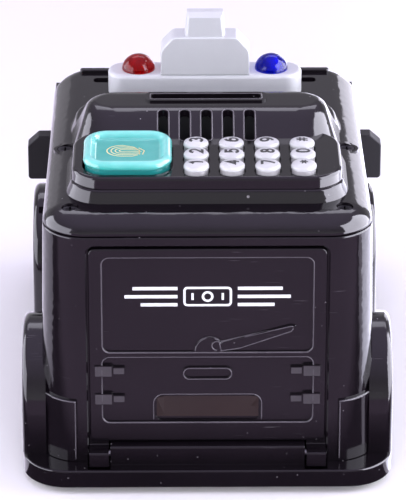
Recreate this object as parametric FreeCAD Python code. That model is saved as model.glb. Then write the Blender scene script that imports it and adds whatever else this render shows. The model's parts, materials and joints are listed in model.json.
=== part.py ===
import FreeCAD, Part
import math
import os

# Toy money box in the shape of an armoured cash truck. Millimetres, +Z up.
# The door end is at -Y, the truck drives towards +Y, and X = 0 is the centre plane.
# Z = 0 is the ground under the wheels. Lengths called "from the rear" are turned
# into Y by fwd(), which counts them from the rear edge of the chassis.

V = FreeCAD.Vector
X_AXIS, Y_AXIS, Z_AXIS = V(1, 0, 0), V(0, 1, 0), V(0, 0, 1)
SIDES = (-1, 1)

# ---- driving dimensions: whole truck ----
LENGTH = 205.0
BASE_HALF = 70.0
BASE_LOW, DECK = 2.8, 9.7
BASE_CORNER = 17.0
RUNNING_BOARD_HALF = 66.0
FLOOR_THICK = 2.4
WALL = 2.2
GAP = 0.3

# ---- body ----
BODY_REAR, BODY_NOSE = 8.2, 201.0
BODY_HALF_LOW, BODY_HALF_TOP, BODY_HALF_TOP_NOSE = 63.0, 61.4, 59.6
BODY_CORNER = 16.0
SEAM = 102.5
ROOF_PLANE = 109.5
ROOF_FRONT = 158.0
HOOD_NOSE_Z, HOOD_BACK, HOOD_BACK_Z = 47.0, 170.0, 57.0
GUARD_INNER, GUARD_TOP, GUARD_PROUD = 49.3, 35.5, 1.2

# ---- wheels and flares ----
WHEEL_R, WHEEL_IN, WHEEL_OUT = 22.0, 53.0, 66.5
WHEEL_YS = {"rear": 41.0, "front": 162.5}
FLARE_R, FLARE_Z, FLARE_HALF = 27.5, 26.0, 70.0
ARCH_R = 23.9
LINER_R, LINER_IN, LINER_OUT = 25.6, 49.0, 60.3
LINER_CLEAR = 0.3
WHEEL_BOSS_IN = 45.0
PIN_R, PIN_BORE = 2.0, 2.05

# ---- door and its hinge ----
DOOR_HALF, DOOR_LOW, DOOR_TOP = 44.3, 17.9, 97.8
DOOR_FACE, DOOR_FLOOR, DOOR_BACK = 8.6, 9.6, 11.7
OPEN_HALF, OPEN_TOP = 44.8, 98.8
HINGE_Y, HINGE_Z = 7.6, 13.5
HINGE_PIN_R, HINGE_BORE = 1.2, 1.25
LUG_IN, LUG_OUT = 37.2, 44.5
LUG_GAP = 0.6
SILL_HALF, SILL_FACE, SILL_BACK, SILL_TOP = 36.6, 5.0, 11.5, 17.3

# ---- latch ----
BOLT_Y, BOLT_Z = 17.5, 89.5
COIL_X0, COIL_X1, COIL_R, PLUNGER_R = 14.5, 29.5, 4.8, 2.0

# ---- roof console, keys and fingerprint pad ----
CONSOLE_TOP = 119.0
ROOF_FRONT_DRAW = 0.4
VISOR_HALF, VISOR_Y = 50.0, 150.5
KEY_XS = (-4.0, 9.3, 22.6, 35.9)
KEY_YS = (31.6, 42.1, 52.6)
KEY_R, KEY_SKIRT_TOP, KEY_TOP = 4.75, 121.1, 122.7
KEY_NAMES = (("1", "4", "7", "star"), ("2", "5", "8", "0"), ("3", "6", "9", "hash"))
PAD_X, PAD_Y, PAD_HALF_X, PAD_HALF_Y = -29.6, 44.9, 16.6, 16.4
PAD_CORNER, PAD_TOP, DISH_DEPTH = 9.0, 123.5, 1.9
ROOF_SCREWS = ((50.8, 20.8), (54.0, 76.3))
BASE_SCREWS = ((54.0, 75.0), (54.0, 129.5), (40.0, 190.0))
SCREW_R = 1.4

# ---- coin slot, speaker slots and note slot ----
COIN_Y, COIN_HALF, COIN_WIDE, DOME_TOP = 84.0, 20.9, 4.3, 126.5
HUMP_HALF, HUMP_REAR, HUMP_FRONT, HUMP_TURN = 45.0, 71.5, 92.0, 3.0
SLOT_XS = (-16.4, -8.2, 0.0, 8.2, 16.4)
NOTE_Y, NOTE_HALF, NOTE_WIDE = 143.1, 44.4, 4.6

# ---- light bar ----
BAR_REAR, BAR_FRONT, BAR_HALF, BAR_TOP = 125.0, 140.6, 38.3, 118.7
LENS_X, LENS_Y, LENS_R, LENS_SINK = 26.3, 133.0, 6.6, 0.7
SIREN_HALF, SIREN_TOP, CAP_TOP = 17.5, 134.6, 144.4

# ---- note feed ----
ROLLER_R, ROLLER_GAP, ROLLER_Z, ROLLER_HALF = 4.0, 0.3, 92.0, 42.0
SHAFT_R, SHAFT_BORE = 1.5, 1.55
GEAR_MODULE, GEAR_TEETH, PINION_TEETH = 0.6, 36, 12
GEAR_X0, GEAR_X1 = 49.0, 52.5
MOTOR_DROP = 9.8

# ---- batteries ----
CELL_R, CELL_LONG, CELL_PITCH, CELL_Y = 7.1, 50.0, 15.0, 99.0
COVER_HALF_X, COVER_HALF_Y = 31.0, 25.0


def fwd(distance):
    """Y of a point that lies this far forward of the chassis's rear edge."""
    return distance - LENGTH / 2


# ------------------------------------------------------------------ helpers
def block(x0, x1, y0, y1, z0, z1):
    """Plain block; y0 and y1 count from the rear."""
    return Part.makeBox(x1 - x0, y1 - y0, z1 - z0, V(x0, fwd(y0), z0))


def rod(x, y, z0, z1, radius):
    """Upright round bar."""
    return Part.makeCylinder(radius, z1 - z0, V(x, fwd(y), z0), Z_AXIS)


def cross_rod(x0, x1, y, z, radius):
    """Round bar along X."""
    return Part.makeCylinder(radius, x1 - x0, V(x0, fwd(y), z), X_AXIS)


def long_rod(x, y0, y1, z, radius):
    """Round bar along Y."""
    return Part.makeCylinder(radius, y1 - y0, V(x, fwd(y0), z), Y_AXIS)


def rounded_wire(points, radii):
    """Closed wire through 3-D points of one plane, each corner rounded by its radius."""
    corners = []
    count = len(points)
    for i, point in enumerate(points):
        back = (points[i - 1] - point).normalize()
        ahead = (points[(i + 1) % count] - point).normalize()
        radius = radii[i] if isinstance(radii, (list, tuple)) else radii
        if radius <= 0:
            corners.append((point, None, point))
            continue
        half = back.getAngle(ahead) / 2
        reach = radius / math.tan(half)
        centre = point + (back + ahead).normalize() * (radius / math.sin(half))
        middle = centre + (point - centre).normalize() * radius
        corners.append((point + back * reach, middle, point + ahead * reach))
    edges = []
    for i, (start, middle, end) in enumerate(corners):
        if middle is not None:
            edges.append(Part.Arc(start, middle, end).toShape())
        following = corners[(i + 1) % count][0]
        if end.distanceToPoint(following) > 1e-6:
            edges.append(Part.makeLine(end, following))
    return Part.Wire(edges)


def plan_wire(half_rear, half_front, y0, y1, z, r_rear, r_front):
    """Level outline, symmetric about X = 0, that may narrow towards the front."""
    points = [V(-half_rear, fwd(y0), z), V(half_rear, fwd(y0), z),
              V(half_front, fwd(y1), z), V(-half_front, fwd(y1), z)]
    return rounded_wire(points, [r_rear, r_rear, r_front, r_front])


def side_wire(outline, x, radii):
    """Outline of (from the rear, Z) points, standing in the plane at x."""
    return rounded_wire([V(x, fwd(y), z) for y, z in outline], radii)


def back_wire(outline, y, radii):
    """Outline of (X, Z) points, standing across the truck at y from the rear."""
    return rounded_wire([V(x, fwd(y), z) for x, z in outline], radii)


def sweep(wire, direction):
    return Part.Face(wire).extrude(direction)


def loft(wires, ruled=False):
    return Part.makeLoft(wires, True, ruled)


def rounded_block(x0, x1, y0, y1, z0, z1, radius):
    """Block with rounded upright edges."""
    points = [V(x0, fwd(y0), z0), V(x1, fwd(y0), z0), V(x1, fwd(y1), z0), V(x0, fwd(y1), z0)]
    return sweep(rounded_wire(points, radius), V(0, 0, z1 - z0))


def back_plate(x0, x1, z0, z1, y0, y1, radius):
    """Block with rounded edges along Y, for details of the door face."""
    outline = [(x0, z0), (x1, z0), (x1, z1), (x0, z1)]
    return sweep(back_wire(outline, y0, radius), V(0, y1 - y0, 0))


def fuse(first, *others):
    return first.fuse(list(others)).removeSplitter() if others else first


def cut(shape, *tools):
    return shape.cut(list(tools))


def edges_at(shape, test):
    """Edges whose every vertex passes the test."""
    return [e for e in shape.Edges if all(test(v.Point) for v in e.Vertexes)]


def soften(shape, radius, test):
    """Rounds the edges whose vertices pass the test."""
    return shape.makeFillet(radius, edges_at(shape, test))


def mirror_x(shape):
    return shape.mirror(V(0, 0, 0), X_AXIS)


def save(name, shape):
    solids = shape.Solids
    result = solids[0] if len(solids) == 1 else Part.makeCompound(solids)
    result.exportStep("parts/" + name + ".step")
    print(name, len(solids), round(sum(s.Volume for s in solids) / 1000.0, 2), "cm3")


# ------------------------------------------------------------------ body
def body_volume(inset, z0, z1):
    """The truck's closed outer form moved inwards by inset, between two heights."""
    def plan(z):
        share = (z - DECK) / (SEAM - DECK)
        half_rear = BODY_HALF_LOW + (BODY_HALF_TOP - BODY_HALF_LOW) * share - inset
        half_nose = BODY_HALF_LOW + (BODY_HALF_TOP_NOSE - BODY_HALF_LOW) * share - inset
        corner = BODY_CORNER - inset
        return plan_wire(half_rear, half_nose, BODY_REAR + inset, BODY_NOSE - inset, z, corner, corner)

    walls = loft([plan(z0), plan(z1)], True)
    rake = (HOOD_BACK - ROOF_FRONT) / (SEAM - HOOD_BACK_Z)
    high = 130.0
    outline = [(-20, -20), (BODY_NOSE, -20), (BODY_NOSE, HOOD_NOSE_Z), (HOOD_BACK, HOOD_BACK_Z),
               (ROOF_FRONT - (high - SEAM) * rake, high), (-20, high)]
    profile = side_wire(outline, -90, [0, 0, 9, 5, 0, 0])
    if inset:
        profile = profile.makeOffset2D(-inset)
    return walls.common(sweep(profile, V(180, 0, 0)))


def arch_block(y, centre_z, radius, x0, x1, z0):
    """Half-disc with straight legs down to z0, along X."""
    disc = cross_rod(x0, x1, y, centre_z, radius)
    disc = disc.common(block(x0, x1, y - radius, y + radius, centre_z, centre_z + radius))
    return fuse(disc, block(x0, x1, y - radius, y + radius, z0, centre_z))


def flare(y):
    """Wheel flare of the right side: half-disc with a rounded outer edge."""
    shape = arch_block(y, FLARE_Z, FLARE_R, BODY_HALF_LOW - 2.0, FLARE_HALF, DECK)
    rim = [e for e in shape.Edges if all(abs(v.X - FLARE_HALF) < 0.01 for v in e.Vertexes)
           and e.BoundBox.ZMax > DECK + 0.1]
    return shape.makeFillet(2.6, rim)


WINDSCREEN = [(-47, 64), (47, 64), (44, 96.5), (-44, 96.5)]
SIDE_WINDOW = [(122, 70), (156, 70), (147, 96), (122, 96)]
GRILLE = [(-24, 20), (24, 20), (24, 38), (-24, 38)]
HEADLIGHT_X, HEADLIGHT_Z, HEADLIGHT_R = 42.0, 32.0, 8.0


def opening_prism(outline, grow, y0, y1, radius):
    """Prism along Y through the front of the body, grown by a fitting gap."""
    wire = back_wire(outline, y0, radius)
    if grow:
        wire = wire.makeOffset2D(grow)
    return sweep(wire, V(0, y1 - y0, 0))


def side_prism(outline, grow, radius):
    """Prism along X through both sides of the body."""
    wire = side_wire(outline, -80, radius)
    if grow:
        wire = wire.makeOffset2D(grow)
    return sweep(wire, V(160, 0, 0))


def headlight_prism(grow):
    rods = [long_rod(side * HEADLIGHT_X, 185, 210, HEADLIGHT_Z, HEADLIGHT_R + grow) for side in SIDES]
    return fuse(*rods)


def body_skin():
    outer = body_volume(0, DECK, SEAM)
    outer = soften(outer, 0.7, lambda p: abs(p.z - SEAM) < 0.01)
    guard = body_volume(-GUARD_PROUD, DECK + 0.3, GUARD_TOP)
    guards = []
    for side in SIDES:
        x0, x1 = sorted((side * GUARD_INNER, side * 80))
        plate = guard.common(block(x0, x1, 0, 20, DECK, GUARD_TOP))
        top = [e for e in plate.Edges if e.BoundBox.ZMin > GUARD_TOP - 0.01 and e.BoundBox.YLength > 3
               and e.BoundBox.XLength > 3]
        plate = plate.makeFillet(0.7, top)
        guards.append(plate)
    flares = []
    for y in WHEEL_YS.values():
        right = flare(y)
        flares += [right, mirror_x(right)]
    solid = fuse(outer, *(guards + flares))
    return cut(solid, body_volume(WALL, DECK - 2, SEAM + 2))


def door_jamb():
    """Collar round the doorway with the flange that the door closes against."""
    ring = block(-OPEN_HALF - 1.8, OPEN_HALF + 1.8, BODY_REAR + 1, 13.6, 18.2, OPEN_TOP + 1.8)
    inner = block(-OPEN_HALF, OPEN_HALF, BODY_REAR, 12.0, 0, OPEN_TOP)
    window = block(-42, 42, BODY_REAR, 15, 22.5, 95.5)
    return cut(ring, inner, window)


def doorway_mouth():
    """Tool that breaks the outer edge round the doorway."""
    lip = 0.5
    inner = back_wire([(-OPEN_HALF, 0), (OPEN_HALF, 0), (OPEN_HALF, OPEN_TOP), (-OPEN_HALF, OPEN_TOP)],
                      BODY_REAR + lip, 3.0)
    half, top = OPEN_HALF + lip, OPEN_TOP + lip
    outer = back_wire([(-half, -lip), (half, -lip), (half, top), (-half, top)], BODY_REAR, 3.0 + lip)
    return loft([inner, outer], True)


def screw_boss(x, y, z0, z1, towards_nose=False):
    """Hollow boss on the body, tied to the wall beside it by a rib."""
    post = rod(x, y, z0, z1, 3.6)
    if towards_nose:
        rib = block(x - 0.9, x + 0.9, y, BODY_NOSE - 1.0, z0, z1)
    else:
        reach = BODY_HALF_TOP - 1.2
        x0, x1 = sorted((x, math.copysign(reach, x)))
        rib = block(x0, x1, y - 0.9, y + 0.9, z0, z1)
    return fuse(post, rib)


def make_body():
    skin = body_skin()
    pieces = [door_jamb()]
    bores = []
    for side in SIDES:
        for x, y in ROOF_SCREWS:
            pieces.append(screw_boss(side * x, y, 88.0, SEAM))
            bores.append(rod(side * x, y, 86.0, SEAM + 1, SCREW_R))
        for x, y in BASE_SCREWS:
            pieces.append(screw_boss(side * x, y, DECK, 22.0, y > 180))
            bores.append(rod(side * x, y, DECK - 1, 20.5, SCREW_R))
    openings = [
        opening_prism(WINDSCREEN, 0.15, 140, 175, 4.0),
        opening_prism(GRILLE, 0.15, 190, 210, 2.0),
        headlight_prism(0.15),
        side_prism(SIDE_WINDOW, 0.15, 3.0),
        back_plate(-OPEN_HALF, OPEN_HALF, 0, OPEN_TOP, 0, 12.0, 3.0),
        doorway_mouth(),
        block(-OPEN_HALF, OPEN_HALF, 0, 14.0, 0, 18.2),
    ]
    for y in WHEEL_YS.values():
        for side in SIDES:
            x0, x1 = sorted((side * 48.0, side * 80.0))
            openings.append(arch_block(y, WHEEL_R, ARCH_R, x0, x1, 0))
    body = cut(fuse(skin, *pieces), *(openings + bores))
    solids = sorted(body.Solids, key=lambda s: -s.Volume)
    save("body_shell", solids[0])
    save("windscreen", skin.common(opening_prism(WINDSCREEN, 0, 140, 175, 4.0)))
    save("side_windows", skin.common(side_prism(SIDE_WINDOW, 0, 3.0)))
    save("headlight_lenses", skin.common(headlight_prism(0)))
    grille = skin.common(opening_prism(GRILLE, 0, 190, 210, 2.0))
    slots = [block(-21, 21, 190, 210, z, z + 1.8) for z in (22.0, 25.6, 29.2, 32.8)]
    save("front_grille", cut(grille, *slots))


# ------------------------------------------------------------------ chassis and wheels
def wheel_liner(y, side):
    """Closed wheel well standing on the chassis, with the boss that holds the wheel pin."""
    x0, x1 = sorted((side * LINER_IN, side * LINER_OUT))
    shell = arch_block(y, WHEEL_R, LINER_R, x0, x1, BASE_LOW)
    w0, w1 = sorted((side * (LINER_IN + 1.6), side * (LINER_OUT + 2)))
    well = arch_block(y, WHEEL_R, ARCH_R, w0, w1, 0)
    b0, b1 = sorted((side * WHEEL_BOSS_IN, side * (LINER_IN + 0.8)))
    boss = fuse(cross_rod(b0, b1, y, WHEEL_R, 4.5), block(b0, b1, y - 1.5, y + 1.5, BASE_LOW, WHEEL_R))
    liner = cut(shell, well).common(body_volume(WALL + LINER_CLEAR, 0, SEAM))
    return fuse(liner, boss)


def make_chassis():
    outline = plan_wire(BASE_HALF, BASE_HALF - 2, 0, LENGTH, BASE_LOW, BASE_CORNER, BASE_CORNER)
    plate = sweep(outline, V(0, 0, DECK - BASE_LOW))
    plate = soften(plate, 0.8, lambda p: abs(p.z - DECK) < 0.01)
    cuts = []
    liners = []
    rear_well = WHEEL_YS["rear"] + LINER_R
    front_well = WHEEL_YS["front"] - LINER_R
    for side in SIDES:
        x0, x1 = sorted((side * RUNNING_BOARD_HALF, side * 80))
        cuts.append(block(x0, x1, rear_well - 1, front_well + 1, 0, 20))
        for y in WHEEL_YS.values():
            x0, x1 = sorted((side * (LINER_IN + 1.6), side * 80))
            cuts.append(block(x0, x1, y - ARCH_R, y + ARCH_R, 0, 20))
            liners.append(wheel_liner(y, side))
    tray_low = BASE_LOW + FLOOR_THICK
    cuts.append(block(-40, 40, 16, 180, tray_low, DECK + 1))
    cuts.append(block(-58, 58, rear_well + 2, front_well - 2, tray_low, DECK + 1))
    base = cut(plate, *cuts)
    sill = block(-SILL_HALF, SILL_HALF, SILL_FACE, SILL_BACK, DECK - 1, SILL_TOP)
    sill = soften(sill, 0.9, lambda p: p.z > SILL_TOP - 0.01 and abs(p.y - fwd(SILL_FACE)) < 0.01)
    posts = []
    holes = []
    for side in SIDES:
        for x, y in BASE_SCREWS:
            posts.append(rod(side * x, y, BASE_LOW, DECK, 5.0))
            holes.append(rod(side * x, y, 0, DECK + 1, SCREW_R + 0.2))
            holes.append(rod(side * x, y, 0, BASE_LOW + 2.6, 3.2))
        x0, x1 = sorted((side * (LUG_IN - LUG_GAP), side * (LUG_OUT + LUG_GAP)))
        holes.append(block(x0, x1, 1.2, 14.0, 6.6, 25))
    holes.append(cross_rod(-SILL_HALF - 1, SILL_HALF + 1, HINGE_Y, HINGE_Z, HINGE_PIN_R))
    holes.append(block(26.0, 34.0, HINGE_Y - 2.0, 12.0, HINGE_Z - 2.2, HINGE_Z + 2.2))
    box_wall = fuse(block(-33, 33, CELL_Y - 27, CELL_Y + 27, BASE_LOW, 20.4))
    box_room = block(-31.2, 31.2, CELL_Y - COVER_HALF_Y - 0.2, CELL_Y + COVER_HALF_Y + 0.2, 0, 20.5)
    cover_seat = block(-33, 33, CELL_Y + 23, CELL_Y + 34, BASE_LOW, DECK)
    cover_hole = rod(0, CELL_Y + 30, 0, DECK + 1, SCREW_R)
    switch_seat = rounded_block(-8, 8, 149, 157, 0, BASE_LOW + 1.0, 1.5)
    switch_slot = block(-5, 5, 151, 155, 0, 8)
    for y in WHEEL_YS.values():
        for side in SIDES:
            x0, x1 = sorted((side * (WHEEL_BOSS_IN - 1), side * 60.0))
            holes.append(cross_rod(x0, x1, y, WHEEL_R, PIN_R))
    base = fuse(base, sill, box_wall, cover_seat, *(posts + liners))
    tab_room = block(-10.2, 10.2, CELL_Y + COVER_HALF_Y, CELL_Y + 35, 0, BASE_LOW + 2.0)
    base = cut(base, box_room, tab_room, cover_hole, switch_seat, switch_slot, *holes)
    save("chassis_base", sorted(base.Solids, key=lambda s: -s.Volume)[0])


def wheel(y, side):
    """One moulded wheel: tyre with tread grooves, rim, hub and spokes."""
    x0, x1 = sorted((side * WHEEL_IN, side * WHEEL_OUT))
    tyre = cross_rod(x0, x1, y, WHEEL_R, WHEEL_R)
    tyre = tyre.makeFillet(1.8, [e for e in tyre.Edges if e.Curve.TypeId == "Part::GeomCircle"])
    face0, face1 = sorted((side * (WHEEL_OUT - 3.0), side * (WHEEL_OUT + 1)))
    dish = cross_rod(face0, face1, y, WHEEL_R, 14.0)
    back0, back1 = sorted((side * (WHEEL_IN - 1), side * (WHEEL_IN + 4.0)))
    back = cut(cross_rod(back0, back1, y, WHEEL_R, 15.0), cross_rod(back0, back1, y, WHEEL_R, 4.0))
    holes = []
    for i in range(6):
        angle = math.radians(60 * i)
        hole_y = y + 9.3 * math.cos(angle)
        hole_z = WHEEL_R + 9.3 * math.sin(angle)
        holes.append(cross_rod(x0 - 1, x1 + 1, hole_y, hole_z, 2.6))
    hub0, hub1 = sorted((side * (WHEEL_OUT - 4.0), side * (WHEEL_OUT - 0.8)))
    hub = cross_rod(hub0, hub1, y, WHEEL_R, 4.4)
    shape = fuse(cut(tyre, dish, back, *holes), hub)
    grooves = []
    count = 24
    for i in range(count):
        middle = (WHEEL_IN + WHEEL_OUT) / 2 * side
        notch = Part.makeBox(5.0, 1.4, 1.6, V(middle - 2.5, -0.7, WHEEL_R - 0.8))
        notch.rotate(V(0, 0, 0), X_AXIS, 360.0 / count * (i + 0.5))
        notch.translate(V(0, fwd(y), WHEEL_R))
        grooves.append(notch)
    return cut(shape, cross_rod(x0 - 1, x1 + 1, y, WHEEL_R, PIN_BORE), *grooves)


def make_wheels():
    pins = []
    for place, y in WHEEL_YS.items():
        for side in SIDES:
            name = "wheel_" + place + ("_right" if side > 0 else "_left")
            save(name, wheel(y, side))
            x0, x1 = sorted((side * (WHEEL_BOSS_IN + 0.5), side * (WHEEL_OUT - 0.6)))
            shank = cross_rod(x0, x1, y, WHEEL_R, PIN_R)
            h0, h1 = sorted((side * (WHEEL_OUT - 0.6), side * (WHEEL_OUT + 1.0)))
            head = cross_rod(h0, h1, y, WHEEL_R, 3.4)
            pins.append(fuse(shank, head))
    save("wheel_pins", Part.makeCompound(pins))


# ------------------------------------------------------------------ door
def door_lug(side):
    """Hinge arm below a lower corner of the door."""
    x0, x1 = sorted((side * LUG_IN, side * LUG_OUT))
    outline = [(2.0, 9.95), (2.0, 16.1), (9.3, 16.1), (9.3, 19.6), (11.4, 19.6), (11.4, 12.0), (9.5, 9.95)]
    return sweep(side_wire(outline, x0, [0.8, 0.8, 0.4, 0, 0, 0.6, 0.6]), V(x1 - x0, 0, 0))


def stadium(x0, x1, z0, z1, y0, y1):
    radius = (z1 - z0) / 2 - 0.01
    return back_plate(x0, x1, z0, z1, y0, y1, radius)


def recess(half, z0, z1, depth, corner, lip):
    """Tool that sinks a panel into the door face and rounds the lip round it."""
    def outline(grow, y):
        x, low, high = half + grow, z0 - grow, z1 + grow
        return back_wire([(-x, low), (x, low), (x, high), (-x, high)], y, corner + grow)

    clear = 2.0
    panel = sweep(outline(0, DOOR_FACE + depth), V(0, -depth - clear, 0))
    bevel = loft([outline(0, DOOR_FACE + lip), outline(lip, DOOR_FACE)], True)
    return fuse(panel, bevel, sweep(outline(lip, DOOR_FACE), V(0, -clear, 0)))


def door_wiper(y0, y1):
    """Moulded wiper: half-disc hub, inner hub and a tapered arm."""
    disc = Part.makeCylinder(5.8, y1 - y0, V(0.8, fwd(y0), 55.4), Y_AXIS)
    disc = disc.common(block(-10, 10, y0, y1, 55.4, 65))
    arm_points = [(4.2, 55.5), (12.0, 56.6), (31.4, 63.6), (33.2, 66.0), (30.6, 66.2), (3.0, 58.6)]
    arm = sweep(back_wire(arm_points, y0, [0, 2.0, 1.0, 0.6, 1.0, 0]), V(0, y1 - y0, 0))
    hub = Part.makeCylinder(2.2, y1 - y0 + 0.5, V(3.4, fwd(y0) - 0.5, 58.0), Y_AXIS)
    return fuse(disc, arm, hub)


def make_door():
    slab = back_plate(-DOOR_HALF, DOOR_HALF, DOOR_LOW, DOOR_TOP, DOOR_FACE, DOOR_BACK, 2.5)
    slab = soften(slab, 0.7, lambda p: abs(p.y - fwd(DOOR_FACE)) < 0.01)
    depth = DOOR_FLOOR - DOOR_FACE
    upper = recess(39.0, 55.4, 93.9, depth, 2.5, 0.35)
    lower = recess(39.2, 26.0, 52.9, depth, 2.5, 0.35)
    plate = back_plate(-19.9, 19.9, 26.0, 36.8, 0, DOOR_FLOOR + 0.8, 3.5)
    hollow_half = DOOR_HALF - 2
    hollow = block(-hollow_half, hollow_half, DOOR_BACK - 1.0, DOOR_BACK + 1, DOOR_LOW + 4, DOOR_TOP - 2)
    door = cut(slab, upper, lower, plate, hollow)
    extras = [
        cut(stadium(-9.5, 9.5, 43.4, 48.9, DOOR_FACE + 0.2, DOOR_FLOOR),
            stadium(-8.5, 8.5, 44.4, 47.9, DOOR_FACE - 1, DOOR_FLOOR + 0.3)),
        door_wiper(DOOR_FACE + 0.1, DOOR_FLOOR),
    ]
    for side in SIDES:
        for z in (47.6, 35.85):
            x0, x1 = sorted((side * 35.4, side * 42.6))
            big = back_plate(x0, x1, z - 2.3, z + 2.3, DOOR_FACE - 1.4, DOOR_FLOOR, 0.8)
            x0, x1 = sorted((side * 30.9, side * 35.6))
            small = back_plate(x0, x1, z - 1.5, z + 1.5, DOOR_FACE - 0.5, DOOR_FLOOR, 0.5)
            extras += [big, small]
        extras.append(door_lug(side))
    keeper = cut(block(-6, 2, DOOR_BACK - 1.2, 19.8, 86.5, 92.5),
                 block(-7, 3, BOLT_Y - 1.6, BOLT_Y + 1.6, BOLT_Z - 1.6, BOLT_Z + 1.6))
    pull = block(-12, 12, DOOR_BACK - 1.2, 13.0, 60.0, 61.6)
    door = fuse(door, keeper, pull, *extras)
    bores = [cross_rod(-50, 50, HINGE_Y, HINGE_Z, HINGE_BORE)]
    save("rear_door", cut(door, *bores))
    pins = []
    for side in SIDES:
        x0, x1 = sorted((side * 24.0, side * (LUG_OUT - 0.2)))
        pins.append(cross_rod(x0, x1, HINGE_Y, HINGE_Z, HINGE_PIN_R))
    save("hinge_pins", Part.makeCompound(pins))


def make_door_spring():
    """Torsion spring round the right hinge pin, with one short leg."""
    wire_r, coil_r, pitch, turns = 0.3, 1.65, 0.95, 7
    helix = Part.makeHelix(pitch, pitch * turns, coil_r)
    section = Part.Wire(Part.makeCircle(wire_r, V(coil_r, 0, 0), Y_AXIS))
    coil = Part.Wire(helix).makePipeShell([section], True, True)
    coil.rotate(V(0, 0, 0), Y_AXIS, 90)
    coil.translate(V(26.7, fwd(HINGE_Y), HINGE_Z))
    save("door_spring", coil)


# ------------------------------------------------------------------ latch
def make_latch():
    bolt = block(2.7, 14.0, BOLT_Y - 1.3, BOLT_Y + 1.3, BOLT_Z - 1.3, BOLT_Z + 1.3)
    plunger = cross_rod(13.0, 36.4, BOLT_Y, BOLT_Z, PLUNGER_R)
    knob = cross_rod(36.4, 37.9, BOLT_Y, BOLT_Z, 3.2)
    save("latch_bolt", fuse(bolt, plunger, knob))
    frame = block(COIL_X0 - 1.2, COIL_X1 + 1.2, 13.6, 24.0, BOLT_Z - 5.4, BOLT_Z + 5.4)
    room = block(COIL_X0, COIL_X1, 14.8, 25.0, BOLT_Z - 6, BOLT_Z + 6)
    tab = block(COIL_X0 - 1.2, COIL_X1 + 1.2, 13.6, 14.8, BOLT_Z + 5, 99.5)
    bore = cross_rod(0, 40, BOLT_Y, BOLT_Z, PLUNGER_R + 0.08)
    save("solenoid_frame", fuse(cut(frame, room, bore), tab.cut(bore)))
    winding = cross_rod(COIL_X0 + 1, COIL_X1 - 1, BOLT_Y, BOLT_Z + 0.6, COIL_R - 0.4)
    cheeks = [cross_rod(x, x + 1, BOLT_Y, BOLT_Z, 2.7) for x in (COIL_X0, COIL_X1 - 1)]
    winding = winding.common(block(0, 40, 14.8, 30, 0, 200))
    save("solenoid_coil", cut(fuse(winding, *cheeks), bore))


# ------------------------------------------------------------------ roof cover
def lifted_outline(half_rear, half_front, y0, y1, corner_rear, corner_front, steps, bottom):
    """Wires of a form that draws in as it rises, less at the front: steps are (rise, draw-in) pairs."""
    wires = []
    for rise, draw in steps:
        ahead = draw * ROOF_FRONT_DRAW
        wires.append(plan_wire(half_rear - draw, half_front - draw, y0 + draw, y1 - ahead, bottom + rise,
                               max(corner_rear - draw * 0.9, 1.0), max(corner_front - draw * 0.9, 1.0)))
    return wires


def elliptic_steps(height, depth, start=0.0):
    """Rise and draw-in pairs along a quarter ellipse."""
    steps = [(start, 0.0)] if start else []
    for i in range(6):
        angle = math.radians(90.0 * i / 5)
        steps.append((start + height * math.sin(angle), depth * (1 - math.cos(angle)) * 0.97))
    return steps


def roof_slab(inset, z0):
    """Roof with its deep rounded edge."""
    def outline(steps):
        return lifted_outline(BODY_HALF_TOP - 0.1 - inset, 60.1 - inset, BODY_REAR + 0.2 + inset,
                              ROOF_FRONT - inset, BODY_CORNER - inset, 15 - inset, steps, z0)

    height = ROOF_PLANE - SEAM - GAP - inset
    slab = loft(outline(elliptic_steps(height, 10.0)))
    if inset:
        return slab
    lip = loft(outline([(0.0, 0.5), (0.25, 0.12), (0.7, 0.0)]), True)
    above = loft(outline([(0.7, 0.0), (height + 1, 0.0)]), True)
    return slab.common(fuse(lip, above))


def coin_hump(inset):
    """Hump that carries the coin slot; its four slopes turn over into the top along a soft curve."""
    foot_half, foot_rear, foot_front, foot_z, foot_corner, top_corner = 51.5, 50.0, 111.0, 110.0, 20.0, 12.0
    foot = plan_wire(foot_half - inset, foot_half - inset, foot_rear + inset, foot_front - inset,
                     foot_z - inset, foot_corner, foot_corner)
    wires = [foot]
    for i in range(6):
        share = i / 5

        def past(run):
            slope = run / (DOME_TOP - foot_z)
            return HUMP_TURN * (math.hypot(1, slope) * share ** 2 - slope * (1 - share) ** 2)

        half = HUMP_HALF - past(foot_half - HUMP_HALF) - inset
        rear = HUMP_REAR + past(HUMP_REAR - foot_rear) + inset
        front = HUMP_FRONT - past(foot_front - HUMP_FRONT) - inset
        corner = top_corner * (1 - 0.5 * share ** 2) - inset
        z = DOME_TOP - HUMP_TURN * (1 - share) ** 2 - inset
        wires.append(plan_wire(half, half, rear, front, z, corner, corner))
    return loft(wires, True)


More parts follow.
